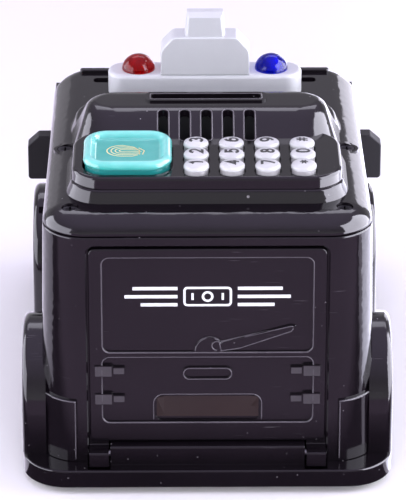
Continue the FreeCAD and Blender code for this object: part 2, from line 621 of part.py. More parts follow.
def console_forms(inset, z0):
    """The console's two steps and the hump that carries the coin slot."""
    def lobe(half, y0, y1, corner, low, high, draw, draw_rear):
        wires = []
        for shift, shift_rear, z in ((0, 0, low), (draw, draw_rear, high)):
            x = half - inset - shift
            rear, front = y0 + inset + shift_rear, y1 - inset - shift
            wires.append(plan_wire(x, x, rear, front, z, corner - shift, corner - shift))
        return loft(wires, True)

    drop = inset
    first = lobe(53.2, 22.7, 74.0, 14.0 - inset, z0, 114.5 - drop, 2.8, 1.4)
    ring = lobe(52.9, 71.0, 119.0, 23.0 - inset, z0, 114.5 - drop, 2.8, 2.8)
    second = lobe(51.0, 24.7, 70.0, 13.0 - inset, z0, CONSOLE_TOP - drop, 0.7, 0.7)
    if not inset:
        first = soften(first, 1.2, lambda p: abs(p.z - 114.5) < 0.01)
        ring = soften(ring, 1.2, lambda p: abs(p.z - 114.5) < 0.01)
        second = soften(second, 1.4, lambda p: abs(p.z - CONSOLE_TOP) < 0.01)
    hump = coin_hump(inset)
    if inset:
        foot = plan_wire(46.0, 46.0, 61.0, 110.0, z0, 20.0, 20.0)
        hump = fuse(hump, sweep(foot, V(0, 0, 109.5 - z0)))
    return [first, ring, second, hump]


def make_roof():
    base_z = SEAM + GAP
    outer = roof_slab(0, base_z)
    outer = fuse(outer, *console_forms(0, ROOF_PLANE - 1.0))
    rim_half = COIN_HALF + 2.2
    rim = rounded_block(-rim_half, rim_half, COIN_Y - 4.2, COIN_Y + 4.2, DOME_TOP - 1, DOME_TOP + 0.7, 2.5)
    visor_top = ROOF_PLANE + 1.4
    visor = rounded_block(-VISOR_HALF, VISOR_HALF, VISOR_Y, VISOR_Y + 2.6, ROOF_PLANE - 3.0, visor_top, 1.2)
    visor = soften(visor, 0.6, lambda p: p.z > visor_top - 0.01)
    outer = fuse(outer, rim, visor)
    inner = roof_slab(2.0, base_z - 0.01)
    inner = fuse(inner, *console_forms(2.0, 104.0))
    shell = cut(outer, inner)
    bosses = []
    holes = []
    for side in SIDES:
        for x, y in ROOF_SCREWS:
            bosses.append(rod(side * x, y, base_z, ROOF_PLANE - 0.9, 4.4))
            holes.append(rod(side * x, y, ROOF_PLANE - 2.6, ROOF_PLANE + 5, 3.15))
            holes.append(rod(side * x, y, base_z - 1, ROOF_PLANE, SCREW_R + 0.2))
    for x in KEY_XS:
        for y in KEY_YS:
            holes.append(rod(x, y, CONSOLE_TOP - 4, CONSOLE_TOP + 1, KEY_R + 0.3))
    holes.append(pad_prism(0.35, CONSOLE_TOP - 4, CONSOLE_TOP + 1))
    holes.append(rounded_block(-COIN_HALF, COIN_HALF, COIN_Y - COIN_WIDE / 2, COIN_Y + COIN_WIDE / 2,
                               DOME_TOP - 6, DOME_TOP + 3, 1.4))
    for x in SLOT_XS:
        holes.append(rounded_block(x - 1.8, x + 1.8, 60.5, 73.0, CONSOLE_TOP - 6, DOME_TOP + 2, 1.7))
    holes.append(rounded_block(-NOTE_HALF, NOTE_HALF, NOTE_Y - NOTE_WIDE / 2, NOTE_Y + NOTE_WIDE / 2,
                               ROOF_PLANE - 4, ROOF_PLANE + 3, 1.6))
    roof = cut(fuse(shell, *bosses), *holes)
    save("roof_cover", sorted(roof.Solids, key=lambda s: -s.Volume)[0])


def pad_prism(grow, z0, z1):
    return rounded_block(PAD_X - PAD_HALF_X - grow, PAD_X + PAD_HALF_X + grow, PAD_Y - PAD_HALF_Y - grow,
                         PAD_Y + PAD_HALF_Y + grow, z0, z1, PAD_CORNER)


def pad_wire(grow, z):
    """Level outline that runs parallel to the pad's edge."""
    x0, x1 = PAD_X - PAD_HALF_X - grow, PAD_X + PAD_HALF_X + grow
    y0, y1 = fwd(PAD_Y - PAD_HALF_Y - grow), fwd(PAD_Y + PAD_HALF_Y + grow)
    return rounded_wire([V(x0, y0, z), V(x1, y0, z), V(x1, y1, z), V(x0, y1, z)], PAD_CORNER + grow)


# ------------------------------------------------------------------ keys
def key_cap(x, y, z0):
    """Round cap with a straight skirt and a domed top."""
    rise = KEY_TOP - KEY_SKIRT_TOP
    ball_r = (KEY_R ** 2 + rise ** 2) / (2 * rise)
    ball = Part.makeSphere(ball_r, V(x, fwd(y), KEY_TOP - ball_r))
    cap = rod(x, y, z0, KEY_TOP + 1, KEY_R).common(fuse(ball, rod(x, y, z0, KEY_SKIRT_TOP, KEY_R + 1)))
    return cap


def make_keys():
    flange_top = CONSOLE_TOP - 2.0 - 0.1
    for yi, y in enumerate(KEY_YS):
        for xi, x in enumerate(KEY_XS):
            cap = key_cap(x, y, flange_top - 0.5)
            flange = rod(x, y, flange_top - 1.2, flange_top, KEY_R + 0.35)
            flange = flange.common(block(x - 10, x + 10, y - 4.2, y + 10, 0, 200))
            stem = rod(x, y, flange_top - 2.7, flange_top - 1.0, 2.0)
            save("key_" + KEY_NAMES[yi][xi], fuse(cap, flange, stem))
    button = pad_prism(0, flange_top - 0.5, PAD_TOP)
    button = soften(button, 1.9, lambda p: abs(p.z - PAD_TOP) < 0.01)
    levels = ((-5.4, PAD_TOP - DISH_DEPTH), (-3.7, PAD_TOP - 0.4), (-3.0, PAD_TOP))
    dish = loft([pad_wire(grow, z) for grow, z in levels], True)
    button = cut(button, dish)
    flange = pad_prism(0.5, flange_top - 1.2, flange_top)
    stem = rod(PAD_X, PAD_Y, flange_top - 2.7, flange_top - 1.0, 4.0)
    save("fingerprint_button", fuse(button, flange, stem))


def make_keypad_inside():
    board_low = 110.3
    board = block(-44.0, 42.5, 29.0, 59.5, board_low, board_low + 1.6)
    places = ((-42, -34, 50, 57), (30, 38, 34, 44))
    chips = [block(x0, x1, y0, y1, board_low - 1.4, board_low) for x0, x1, y0, y1 in places]
    save("keypad_board", fuse(board, *chips))
    sheet = block(-43, 42, 29.2, 59.0, board_low + 1.6, board_low + 2.2)
    domes = [rod(x, y, board_low + 2.1, board_low + 2.6, 3.0) for x in KEY_XS for y in KEY_YS]
    domes.append(rod(PAD_X, PAD_Y, board_low + 2.1, board_low + 2.6, 5.0))
    save("keypad_membrane", fuse(sheet, *domes))


# ------------------------------------------------------------------ light bar, siren, mirrors
def siren_cap():
    """Cap of the siren: bulged sides drawn in towards the top and a top that falls to the door end."""
    rings = []
    for z, half, bulge, front in ((SIREN_TOP, 7.0, 8.0, 134.0), (CAP_TOP, 6.2, 7.1, 133.4)):
        corners = [(half, 126.2), (bulge, 128.4), (bulge, 131.6), (half, front)]
        loop = [V(x, fwd(y), z) for x, y in corners] + [V(-x, fwd(y), z) for x, y in reversed(corners)]
        rings.append(rounded_wire(loop, 0.9))
    profile = [(126.0, SIREN_TOP), (126.0, SIREN_TOP + 8.0), (128.6, CAP_TOP), (133.2, CAP_TOP),
               (134.2, SIREN_TOP)]
    limit = sweep(side_wire(profile, -10, [0, 1.2, 1.0, 1.5, 0]), V(20, 0, 0))
    return loft(rings, True).common(limit)


def make_light_bar():
    bar = rounded_block(-BAR_HALF, BAR_HALF, BAR_REAR, BAR_FRONT, ROOF_PLANE, BAR_TOP, 7.0)
    bar = soften(bar, 1.6, lambda p: abs(p.z - BAR_TOP) < 0.01)
    wall = 2.0
    half = BAR_HALF - wall
    room = rounded_block(-half, half, BAR_REAR + wall, BAR_FRONT - wall, ROOF_PLANE - 1, BAR_TOP - wall, 5.0)
    sockets = [rod(side * LENS_X, LENS_Y, BAR_TOP - 3, BAR_TOP + 1, 3.2) for side in SIDES]
    save("light_bar_base", cut(bar, room, *sockets))
    shoulder = SIREN_TOP - 5.6
    outline = [(-SIREN_HALF, BAR_TOP), (SIREN_HALF, BAR_TOP), (SIREN_HALF, shoulder), (12.6, SIREN_TOP),
               (-12.6, SIREN_TOP), (-SIREN_HALF, shoulder)]
    tower = sweep(back_wire(outline, BAR_REAR + 0.4, [0, 0, 4.4, 3.0, 3.0, 4.4]), V(0, 13.6, 0))
    slope = [(BAR_REAR, BAR_TOP), (BAR_REAR + 13.6, BAR_TOP), (BAR_REAR + 13.0, 126.0),
             (BAR_REAR + 11.0, SIREN_TOP + 1), (BAR_REAR, SIREN_TOP + 1)]
    tower = tower.common(sweep(side_wire(slope, -20, 0), V(40, 0, 0)))
    room = block(-SIREN_HALF + 2.4, SIREN_HALF - 2.4, BAR_REAR + 2.6, BAR_REAR + 9.5, BAR_TOP - 1, 125.0)
    save("siren_housing", tower.cut(room))
    save("siren_cap", siren_cap())
    leds = []
    for name, side in (("red_lens", -1), ("blue_lens", 1)):
        x = side * LENS_X
        middle = V(x, fwd(LENS_Y), BAR_TOP - LENS_SINK)
        ball = Part.makeSphere(LENS_R, middle).common(rod(x, LENS_Y, BAR_TOP, BAR_TOP + 10, LENS_R))
        save(name, cut(ball, Part.makeSphere(LENS_R - 1.6, middle)))
        led = fuse(rod(x, LENS_Y, BAR_TOP - 4, BAR_TOP + 1.6, 2.4),
                   Part.makeSphere(2.4, V(x, fwd(LENS_Y), BAR_TOP + 1.6)))
        leds.append(led)
    save("beacon_leds", Part.makeCompound(leds))


def make_mirrors():
    outline = [(60.6, 64.5), (71.5, 64.5), (71.5, 79.3), (67.0, 83.4), (60.6, 83.4)]
    block_shape = sweep(back_wire(outline, 147.0, [0, 1.5, 1.5, 1.0, 0]), V(0, 6.5, 0))
    outside = body_volume(-0.02, 50, SEAM)
    right = cut(block_shape, outside)
    save("mirror_right", right)
    save("mirror_left", mirror_x(right))


# ------------------------------------------------------------------ note feed
def gear(teeth, y, z, bore, phase):
    """Spur gear with straight-flanked teeth; phase turns it by a share of one tooth."""
    pitch_r = GEAR_MODULE * teeth / 2
    tip_r = pitch_r + GEAR_MODULE * 0.9
    root_r = pitch_r - GEAR_MODULE * 1.2
    step = 2 * math.pi / teeth
    points = []
    for i in range(teeth):
        middle = (i + phase) * step
        for radius, share in ((root_r, -0.34), (tip_r, -0.11), (tip_r, 0.11), (root_r, 0.34)):
            angle = middle + share * step
            points.append(V(GEAR_X0, fwd(y) + radius * math.cos(angle), z + radius * math.sin(angle)))
    points.append(points[0])
    wheel_shape = Part.Face(Part.makePolygon(points)).extrude(V(GEAR_X1 - GEAR_X0, 0, 0))
    return wheel_shape.cut(cross_rod(GEAR_X0 - 1, GEAR_X1 + 1, y, z, bore))


def feed_roller(y):
    """Shaft with three rubber-faced drums on it."""
    drums = [cross_rod(x - 7, x + 7, y, ROLLER_Z, ROLLER_R) for x in (-30, 0, 30)]
    core = cross_rod(-ROLLER_HALF, ROLLER_HALF, y, ROLLER_Z, 2.4)
    return fuse(core, *drums)


def make_note_feed():
    reach = ROLLER_R + ROLLER_GAP / 2
    drive_y, idler_y = NOTE_Y - reach, NOTE_Y + reach
    drive = fuse(feed_roller(drive_y), cross_rod(-48.5, GEAR_X1 + 1, drive_y, ROLLER_Z, SHAFT_R))
    save("note_drive_roller", drive)
    idler = fuse(feed_roller(idler_y), cross_rod(-48.2, 48.2, idler_y, ROLLER_Z, SHAFT_R))
    save("note_idler_roller", idler)
    centre_gap = GEAR_MODULE * (GEAR_TEETH + PINION_TEETH) / 2
    back = math.sqrt(centre_gap ** 2 - MOTOR_DROP ** 2)
    motor_y, motor_z = drive_y - back, ROLLER_Z - MOTOR_DROP
    towards_motor = math.atan2(-MOTOR_DROP, -back)
    step = 2 * math.pi / GEAR_TEETH
    save("roller_gear", gear(GEAR_TEETH, drive_y, ROLLER_Z, SHAFT_R, (towards_motor / step) % 1.0))
    step = 2 * math.pi / PINION_TEETH
    towards_gear = towards_motor + math.pi
    save("motor_pinion", gear(PINION_TEETH, motor_y, motor_z, 1.05, (towards_gear / step + 0.5) % 1.0))
    can = fuse(cross_rod(21.0, 44.0, motor_y, motor_z, 6.0), cross_rod(44.0, 45.0, motor_y, motor_z, 2.5),
               cross_rod(45.0, GEAR_X1, motor_y, motor_z, 1.0))
    save("roller_motor", can)
    plates = []
    for x0, x1 in ((-48.0, -46.0), (46.0, 48.0)):
        plates.append(block(x0, x1, 120.0, 149.4, 74.0, 99.0))
    ties = [block(-48, 48, 139.6, 140.6, 98.0, 107.0), block(-48, 48, 145.6, 146.6, 98.0, 106.8)]
    ties.append(block(-48, 48, 120.0, 122.0, 74.0, 99.0))
    frame = fuse(*(plates + ties))
    bores = [cross_rod(-50, 50, y, ROLLER_Z, SHAFT_BORE) for y in (drive_y, idler_y)]
    bores.append(cross_rod(43, 50, motor_y, motor_z, 2.55))
    save("roller_frame", cut(frame, *bores))


# ------------------------------------------------------------------ coin chute, boards, sound, power
def make_coin_chute():
    tube = block(-COIN_HALF - 2.4, COIN_HALF + 2.4, COIN_Y - 3.4, COIN_Y + 3.4, 98.0, DOME_TOP - 2.2)
    room = block(-COIN_HALF - 1.0, COIN_HALF + 1.0, COIN_Y - 2.4, COIN_Y + 2.4, 97.0, DOME_TOP)
    save("coin_chute", tube.cut(room))


def make_electronics():
    board = block(-42, 42, 90.0, 119.0, 100.0, 101.6)
    places = ((-10, 4, 98, 112, 104.0), (18, 26, 96, 108, 107.0), (-34, -26, 94, 100, 105.0))
    chips = [block(x0, x1, y0, y1, 101.6, top) for x0, x1, y0, y1, top in places]
    save("main_board", fuse(board, *chips))
    cone = fuse(rod(0, 66.0, 102.0, 104.5, 13.0), rod(0, 66.0, 98.0, 102.0, 7.0))
    dish = Part.makeCone(11.5, 4.0, 2.0, V(0, fwd(66.0), 104.5), V(0, 0, -1))
    save("speaker", cone.cut(dish))
    run = ((94.0, 106.6), (84.0, 107.0), (70.0, 107.0), (56.0, 108.4))
    points = [V(-30, fwd(y), z) for y, z in run]
    curve = Part.BSplineCurve()
    curve.interpolate(points)
    path = Part.Wire(curve.toShape())
    start = Part.Wire(Part.makeCircle(1.4, points[0], curve.tangent(curve.FirstParameter)[0]))
    save("wiring_loom", path.makePipeShell([start], True, True))


def make_power():
    cells = []
    contacts = []
    for i in (-1, 0, 1):
        y = CELL_Y + i * CELL_PITCH
        turn = 1 if i % 2 else -1
        body = cross_rod(-CELL_LONG / 2, CELL_LONG / 2 - 1.2, y, 12.6, CELL_R)
        nub = cross_rod(CELL_LONG / 2 - 1.2, CELL_LONG / 2, y, 12.6, 2.7)
        cell = fuse(body, nub)
        cells.append(cell if turn > 0 else mirror_x(cell))
        for side in SIDES:
            x0, x1 = sorted((side * 30.2, side * 30.8))
            plate = block(x0, x1, y - 5.0, y + 5.0, 7.6, 17.6)
            x0, x1 = sorted((side * (CELL_LONG / 2 + 0.1), side * 30.4))
            contacts.append(fuse(plate, cross_rod(x0, x1, y, 12.6, 2.4)))
    save("batteries", Part.makeCompound(cells))
    save("battery_contacts", Part.makeCompound(contacts))
    front, top = CELL_Y + COVER_HALF_Y, BASE_LOW + 1.8
    cover = block(-COVER_HALF_X, COVER_HALF_X, CELL_Y - COVER_HALF_Y, front, BASE_LOW, top)
    tab = block(-10, 10, front - 1, CELL_Y + 34.8, BASE_LOW, top)
    grips = [block(-8, 8, y - 0.5, y + 0.5, 0, BASE_LOW + 0.6) for y in (82.0, 85.0, 88.0)]
    hole = rod(0, CELL_Y + 30, 0, 10, SCREW_R + 0.2)
    sink = rod(0, CELL_Y + 30, 0, BASE_LOW + 1.2, 3.0)
    save("battery_cover", cut(fuse(cover, tab), hole, sink, *grips))
    thumb = block(-4.6, -0.6, 151.6, 154.4, BASE_LOW + 0.1, 6.0)
    neck = block(-3.8, -1.4, 152.0, 154.0, 5.5, 8.5)
    slider = block(-5.6, 0.4, 151.2, 154.8, 8.2, 9.4)
    save("switch_knob", fuse(thumb, neck, slider))
    case = cut(block(-9, 9, 149.5, 156.5, 5.3, 12.0), block(-8, 8, 150.5, 155.5, 4.0, 10.6))
    save("switch_body", case)


def make_screws():
    roof = []
    base = []
    for side in SIDES:
        for x, y in ROOF_SCREWS:
            head_low = ROOF_PLANE - 2.6
            head = rod(side * x, y, head_low, head_low + 1.7, 2.9)
            shank = rod(side * x, y, 92.0, head_low, SCREW_R)
            slot_low = head_low + 0.7
            slots = []
            for half, reach in ((1.8, 0.35), (0.35, 1.8)):
                x0, x1 = side * x - half, side * x + half
                slots.append(block(x0, x1, y - reach, y + reach, slot_low, slot_low + 3))
            roof.append(cut(fuse(head, shank), *slots))
        for x, y in BASE_SCREWS:
            base.append(fuse(rod(side * x, y, BASE_LOW + 0.9, BASE_LOW + 2.6, 3.0),
                             rod(side * x, y, BASE_LOW + 2.6, 20.0, SCREW_R)))
    base.append(fuse(rod(0, CELL_Y + 30, BASE_LOW + 0.1, BASE_LOW + 1.2, 2.8),
                     rod(0, CELL_Y + 30, BASE_LOW + 1.2, DECK - 1.0, SCREW_R)))
    save("roof_screws", Part.makeCompound(roof))
    save("base_screws", Part.makeCompound(base))


def make_compartment():
    floor = block(-44.5, 44.5, 16.0, 118.0, 20.8, 22.2)
    bulkhead = block(-44.5, 44.5, 118.0, 119.4, 20.8, 73.0)
    save("compartment_floor", fuse(floor, bulkhead))


os.makedirs("parts", exist_ok=True)
make_body()
make_chassis()
make_wheels()
make_door()
make_door_spring()
make_latch()
make_roof()
make_keys()
make_keypad_inside()
make_light_bar()
make_mirrors()
make_note_feed()
make_coin_chute()
make_electronics()
make_power()
make_screws()
make_compartment()
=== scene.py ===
import json
import math

import bmesh
import bpy
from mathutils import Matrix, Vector
from mathutils.bvhtree import BVHTree


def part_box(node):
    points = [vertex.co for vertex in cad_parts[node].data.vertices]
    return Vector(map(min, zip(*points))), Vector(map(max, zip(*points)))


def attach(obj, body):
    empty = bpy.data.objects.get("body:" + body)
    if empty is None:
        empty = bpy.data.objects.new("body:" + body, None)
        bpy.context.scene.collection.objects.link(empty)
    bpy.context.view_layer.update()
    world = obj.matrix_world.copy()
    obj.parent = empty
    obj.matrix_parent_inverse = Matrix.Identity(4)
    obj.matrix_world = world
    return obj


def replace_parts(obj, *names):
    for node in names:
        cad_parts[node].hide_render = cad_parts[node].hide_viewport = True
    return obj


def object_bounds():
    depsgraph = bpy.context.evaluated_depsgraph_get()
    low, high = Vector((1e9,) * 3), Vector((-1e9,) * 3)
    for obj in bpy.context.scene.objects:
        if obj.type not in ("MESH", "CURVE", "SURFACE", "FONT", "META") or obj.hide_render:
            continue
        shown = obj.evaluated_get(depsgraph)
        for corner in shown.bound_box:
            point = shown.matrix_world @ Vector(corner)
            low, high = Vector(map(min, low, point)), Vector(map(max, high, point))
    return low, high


# Looks for a toy armoured-truck money box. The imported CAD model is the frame: every piece
# here takes its place from a node's box or lies on a node's own surface. Metres, +Z up,
# door end at -Y, nose at +Y. Details on a surface are given in millimetres.

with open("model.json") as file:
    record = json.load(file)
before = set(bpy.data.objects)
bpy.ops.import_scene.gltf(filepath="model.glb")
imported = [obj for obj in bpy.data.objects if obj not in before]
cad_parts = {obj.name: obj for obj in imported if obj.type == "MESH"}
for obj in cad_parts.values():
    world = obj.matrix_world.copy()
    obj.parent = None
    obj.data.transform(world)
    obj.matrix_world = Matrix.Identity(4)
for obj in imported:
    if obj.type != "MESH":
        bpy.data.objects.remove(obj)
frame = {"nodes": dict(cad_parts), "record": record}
CAD_BOX = [list(corner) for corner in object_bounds()]
NODE_BODY = {node: body for body, nodes in frame["record"]["behaviour"]["bodies"].items() for node in nodes}
NODE_SLOT = {part["node"]: part["material_slot"] for part in frame["record"]["subparts"]}
MM = 0.001
SIDES = (-1, 1)
KEYS = sorted(node for node in frame["nodes"] if node.startswith("key_"))
WHEELS = sorted(node for node in frame["nodes"] if node.startswith("wheel_") and node != "wheel_pins")


# ------------------------------------------------------------------ material tools
class Graph:
    """Small helper that adds nodes to a material and links them."""

    def __init__(self, name):
        self.material = bpy.data.materials.new(name)
        self.material.use_nodes = True
        self.tree = self.material.node_tree
        self.shader = self.tree.nodes["Principled BSDF"]
        self.place = self.node("ShaderNodeTexCoord").outputs["Object"]

    def node(self, kind, inputs=None, **settings):
        made = self.tree.nodes.new(kind)
        for key, value in settings.items():
            setattr(made, key, value)
        for key, value in (inputs or {}).items():
            self.put(made.inputs[key], value)
        return made

    def put(self, socket, value):
        if isinstance(value, bpy.types.NodeSocket):
            self.tree.links.new(value, socket)
        else:
            socket.default_value = value

    def shade(self, **values):
        for key, value in values.items():
            self.put(self.shader.inputs[key.replace("_", " ")], value)

    def noise(self, scale, detail=4.0, rough=0.55, stretch=(1, 1, 1), turn=(0, 0, 0)):
        mapped = self.node("ShaderNodeMapping", {"Vector": self.place, "Scale": stretch, "Rotation": turn})
        inputs = {"Vector": mapped.outputs[0], "Scale": scale, "Detail": detail, "Roughness": rough}
        return self.node("ShaderNodeTexNoise", inputs).outputs["Fac"]

    def ramp(self, value, low, high, out_low=0.0, out_high=1.0):
        inputs = {"Value": value, "From Min": low, "From Max": high, "To Min": out_low, "To Max": out_high}
        return self.node("ShaderNodeMapRange", inputs).outputs["Result"]

    def math(self, operation, a, b=0.0):
        return self.node("ShaderNodeMath", {0: a, 1: b}, operation=operation).outputs[0]

    def blend(self, share, a, b):
        made = self.node("ShaderNodeMix", data_type="RGBA")
        self.put(made.inputs["Factor"], share)
        self.put(made.inputs["A"], a)
        self.put(made.inputs["B"], b)
        return made.outputs["Result"]

    def height(self):
        """Height above the ground of the shaded point, in the piece's own space."""
        return self.node("ShaderNodeSeparateXYZ", {0: self.place}).outputs["Z"]

    def bump(self, height, strength, distance):
        bump = self.node("ShaderNodeBump", {"Height": height, "Strength": strength, "Distance": distance})
        self.put(self.shader.inputs["Normal"], bump.outputs["Normal"])


def rgb(r, g, b):
    return (r, g, b, 1.0)


def dust(graph, scale, cover):
    """Mask of small specks, strongest on faces that look up."""
    cells = graph.node("ShaderNodeTexVoronoi", {"Vector": graph.place, "Scale": scale})
    speck = graph.ramp(cells.outputs["Distance"], 0.06, 0.24, 1.0, 0.0)
    chosen = graph.ramp(cells.outputs["Color"], 1.0 - cover, 1.0 - cover + 0.02)
    facing = graph.node("ShaderNodeSeparateXYZ", {0: graph.node("ShaderNodeNewGeometry").outputs["Normal"]})
    upward = graph.ramp(facing.outputs["Z"], -0.3, 0.6, 0.5, 1.0)
    return graph.math("MULTIPLY", graph.math("MULTIPLY", speck, chosen), upward)


def scratches(graph, scale, turn, sharp):
    """Mask of fine hair scratches along one direction."""
    lines = graph.noise(scale, 2.0, 0.6, (1.0, 1.0, 38.0), turn)
    broken = graph.noise(scale * 0.25, 2.0, 0.5)
    thin = graph.ramp(lines, sharp, sharp + 0.05)
    return graph.math("MULTIPLY", thin, graph.ramp(broken, 0.56, 0.66))


def glossy_black(name, tone, rough=0.08, specks=0.06):
    """Moulded ABS: near-black with a violet cast, handled, dusty and lightly scratched."""
    g = Graph(name)
    mottled = g.noise(22.0, 5.0, 0.6)
    warm = tuple(c * 1.4 for c in tone)
    colour = g.blend(g.ramp(mottled, 0.35, 0.7), rgb(*tone), rgb(*warm))
    marks = g.math("MAXIMUM", scratches(g, 60.0, (0.3, 0.9, 0.5), 0.70),
                   scratches(g, 48.0, (1.2, 0.2, 2.1), 0.71))
    fluff = g.math("MAXIMUM", dust(g, 330.0, specks), dust(g, 800.0, specks * 1.5))
    dirt = g.math("MAXIMUM", g.math("MULTIPLY", marks, 0.22), g.math("MULTIPLY", fluff, 0.8))
    colour = g.blend(dirt, colour, rgb(0.42, 0.40, 0.43))
    smudge = g.ramp(g.noise(14.0, 6.0, 0.65), 0.45, 0.75, rough, rough + 0.10)
    g.shade(Base_Color=colour, Roughness=g.math("ADD", smudge, g.math("MULTIPLY", dirt, 0.5)), IOR=1.5)
    g.bump(g.noise(45.0, 2.0), 0.02, 0.0008)
    return g.material


def satin_plastic(name, tone, rough=0.4, vary=0.12, grain=900.0, bump=0.12, waxy=0.0, specks=0.02, ior=1.48):
    """Moulded plastic with mild colour variation, fine grain and a few specks."""
    g = Graph(name)
    dark = tuple(c * (1 - vary) for c in tone)
    light = tuple(min(1.0, c * (1 + vary * 0.5)) for c in tone)
    colour = g.blend(g.ramp(g.noise(30.0, 5.0), 0.3, 0.7), rgb(*dark), rgb(*light))
    colour = g.blend(g.math("MULTIPLY", dust(g, 500.0, specks), 0.5), colour, rgb(0.4, 0.39, 0.38))
    polish = g.ramp(g.noise(45.0, 4.0), 0.3, 0.7, rough * 0.85, rough * 1.2)
    g.shade(Base_Color=colour, Roughness=polish, IOR=ior)
    if waxy:
        g.shade(Subsurface_Weight=waxy, Subsurface_Radius=(1.0, 1.0, 1.0), Subsurface_Scale=0.002)
    g.bump(g.noise(grain, 3.0), bump, 0.0002)
    return g.material


def key_plastic(name):
    """White key plastic, with a little painted shade greying it low on the sides."""
    g = Graph(name)
    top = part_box("key_1")[1].z
    # Painted shade: the lowest part of each cap's side is greyed, as where the console shades it, broken up
    # by noise.
    foot = g.ramp(g.height(), top - 2.6 * MM, top - 2.2 * MM, 1.0, 0.0)
    foot_shade = g.math("MULTIPLY", foot, g.ramp(g.noise(160.0, 4.0), 0.3, 0.7, 0.6, 1.0))
    body = g.blend(g.ramp(g.noise(70.0, 4.0), 0.3, 0.7), rgb(0.53, 0.54, 0.56), rgb(0.63, 0.64, 0.65))
    g.shade(Base_Color=g.blend(foot_shade, body, rgb(0.36, 0.35, 0.37)),
            Roughness=g.ramp(g.noise(80.0), 0.3, 0.7, 0.24, 0.36))
    g.shade(Subsurface_Weight=0.15, Subsurface_Radius=(1.0, 1.0, 1.0), Subsurface_Scale=0.001)
    g.bump(g.noise(700.0, 3.0), 0.06, 0.0002)
    return g.material


def pad_plastic(name):
    """Cast teal silicone, with painted light and shade: lighter on the puffy rim, deeper in the dish and
    darker low on the skirt.
    """
    g = Graph(name)
    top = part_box("fingerprint_button")[1].z
    swirl = g.ramp(g.noise(55.0, 3.0), 0.35, 0.7)
    # Painted light and shade: the raised rim gets the lighter teal, the dish and lower slopes the deeper
    # one.
    lit_rim_teal = g.blend(swirl, rgb(0.17, 0.62, 0.56), rgb(0.27, 0.72, 0.68))
    deep = g.blend(swirl, rgb(0.04, 0.42, 0.37), rgb(0.10, 0.52, 0.47))
    colour = g.blend(g.ramp(g.height(), top - 2.1 * MM, top - 0.5 * MM), deep, lit_rim_teal)
    # Painted shade: the skirt is darkened low down, where its thin translucent edge shows the dark inside.
    skirt_shade = g.ramp(g.height(), top - 3.1 * MM, top - 2.7 * MM, 1.0, 0.0)
    colour = g.blend(skirt_shade, colour, rgb(0.02, 0.27, 0.26))
    g.shade(Base_Color=colour, Roughness=g.ramp(g.noise(60.0, 3.0), 0.3, 0.7, 0.10, 0.2), IOR=1.45)
    g.shade(Coat_Weight=0.5, Coat_Roughness=0.05)
    g.shade(Subsurface_Weight=0.35, Subsurface_Radius=(0.4, 1.0, 0.9), Subsurface_Scale=0.0025)
    g.bump(g.noise(120.0, 2.0), 0.05, 0.0004)
    return g.material


def clear_plastic(name, tone, rough=0.04, through=0.9, glow=0.0, ior=1.49):
    """Tinted see-through plastic with faint flow lines; a little glow stands for light scattered in it."""
    g = Graph(name)
    deep = tuple(c * 0.6 for c in tone)
    colour = g.blend(g.ramp(g.noise(120.0, 3.0), 0.35, 0.7), rgb(*deep), rgb(*tone))
    g.shade(Base_Color=colour, Roughness=g.ramp(g.noise(80.0, 3.0), 0.3, 0.7, rough, rough * 1.8 + 0.01),
            Transmission_Weight=through, IOR=ior, Emission_Color=colour, Emission_Strength=glow)
    g.bump(g.noise(90.0, 2.0), 0.04, 0.0003)
    return g.material


def metal(name, tone, rough=0.28, brushed=(1, 1, 30)):
    """Metal with fine drawn lines and slight staining."""
    g = Graph(name)
    stain = g.ramp(g.noise(70.0, 5.0), 0.4, 0.75)
    colour = g.blend(stain, rgb(*tone), rgb(*(c * 0.62 for c in tone)))
    lines = g.noise(300.0, 3.0, 0.6, brushed)
    g.shade(Base_Color=colour, Metallic=1.0, Roughness=g.ramp(lines, 0.3, 0.7, rough, rough + 0.2))
    g.bump(lines, 0.12, 0.0001)
    return g.material


def circuit_board(name):
    """Green lacquered board with lighter copper tracks under the lacquer."""
    g = Graph(name)
    cells = g.node("ShaderNodeTexBrick", {"Vector": g.place, "Scale": 120.0, "Mortar Size": 0.03})
    tracks = g.ramp(cells.outputs["Fac"], 0.3, 0.6)
    colour = g.blend(tracks, rgb(0.01, 0.16, 0.06), rgb(0.09, 0.36, 0.12))
    g.shade(Base_Color=colour, Roughness=0.3)
    g.bump(tracks, 0.3, 0.0001)
    return g.material


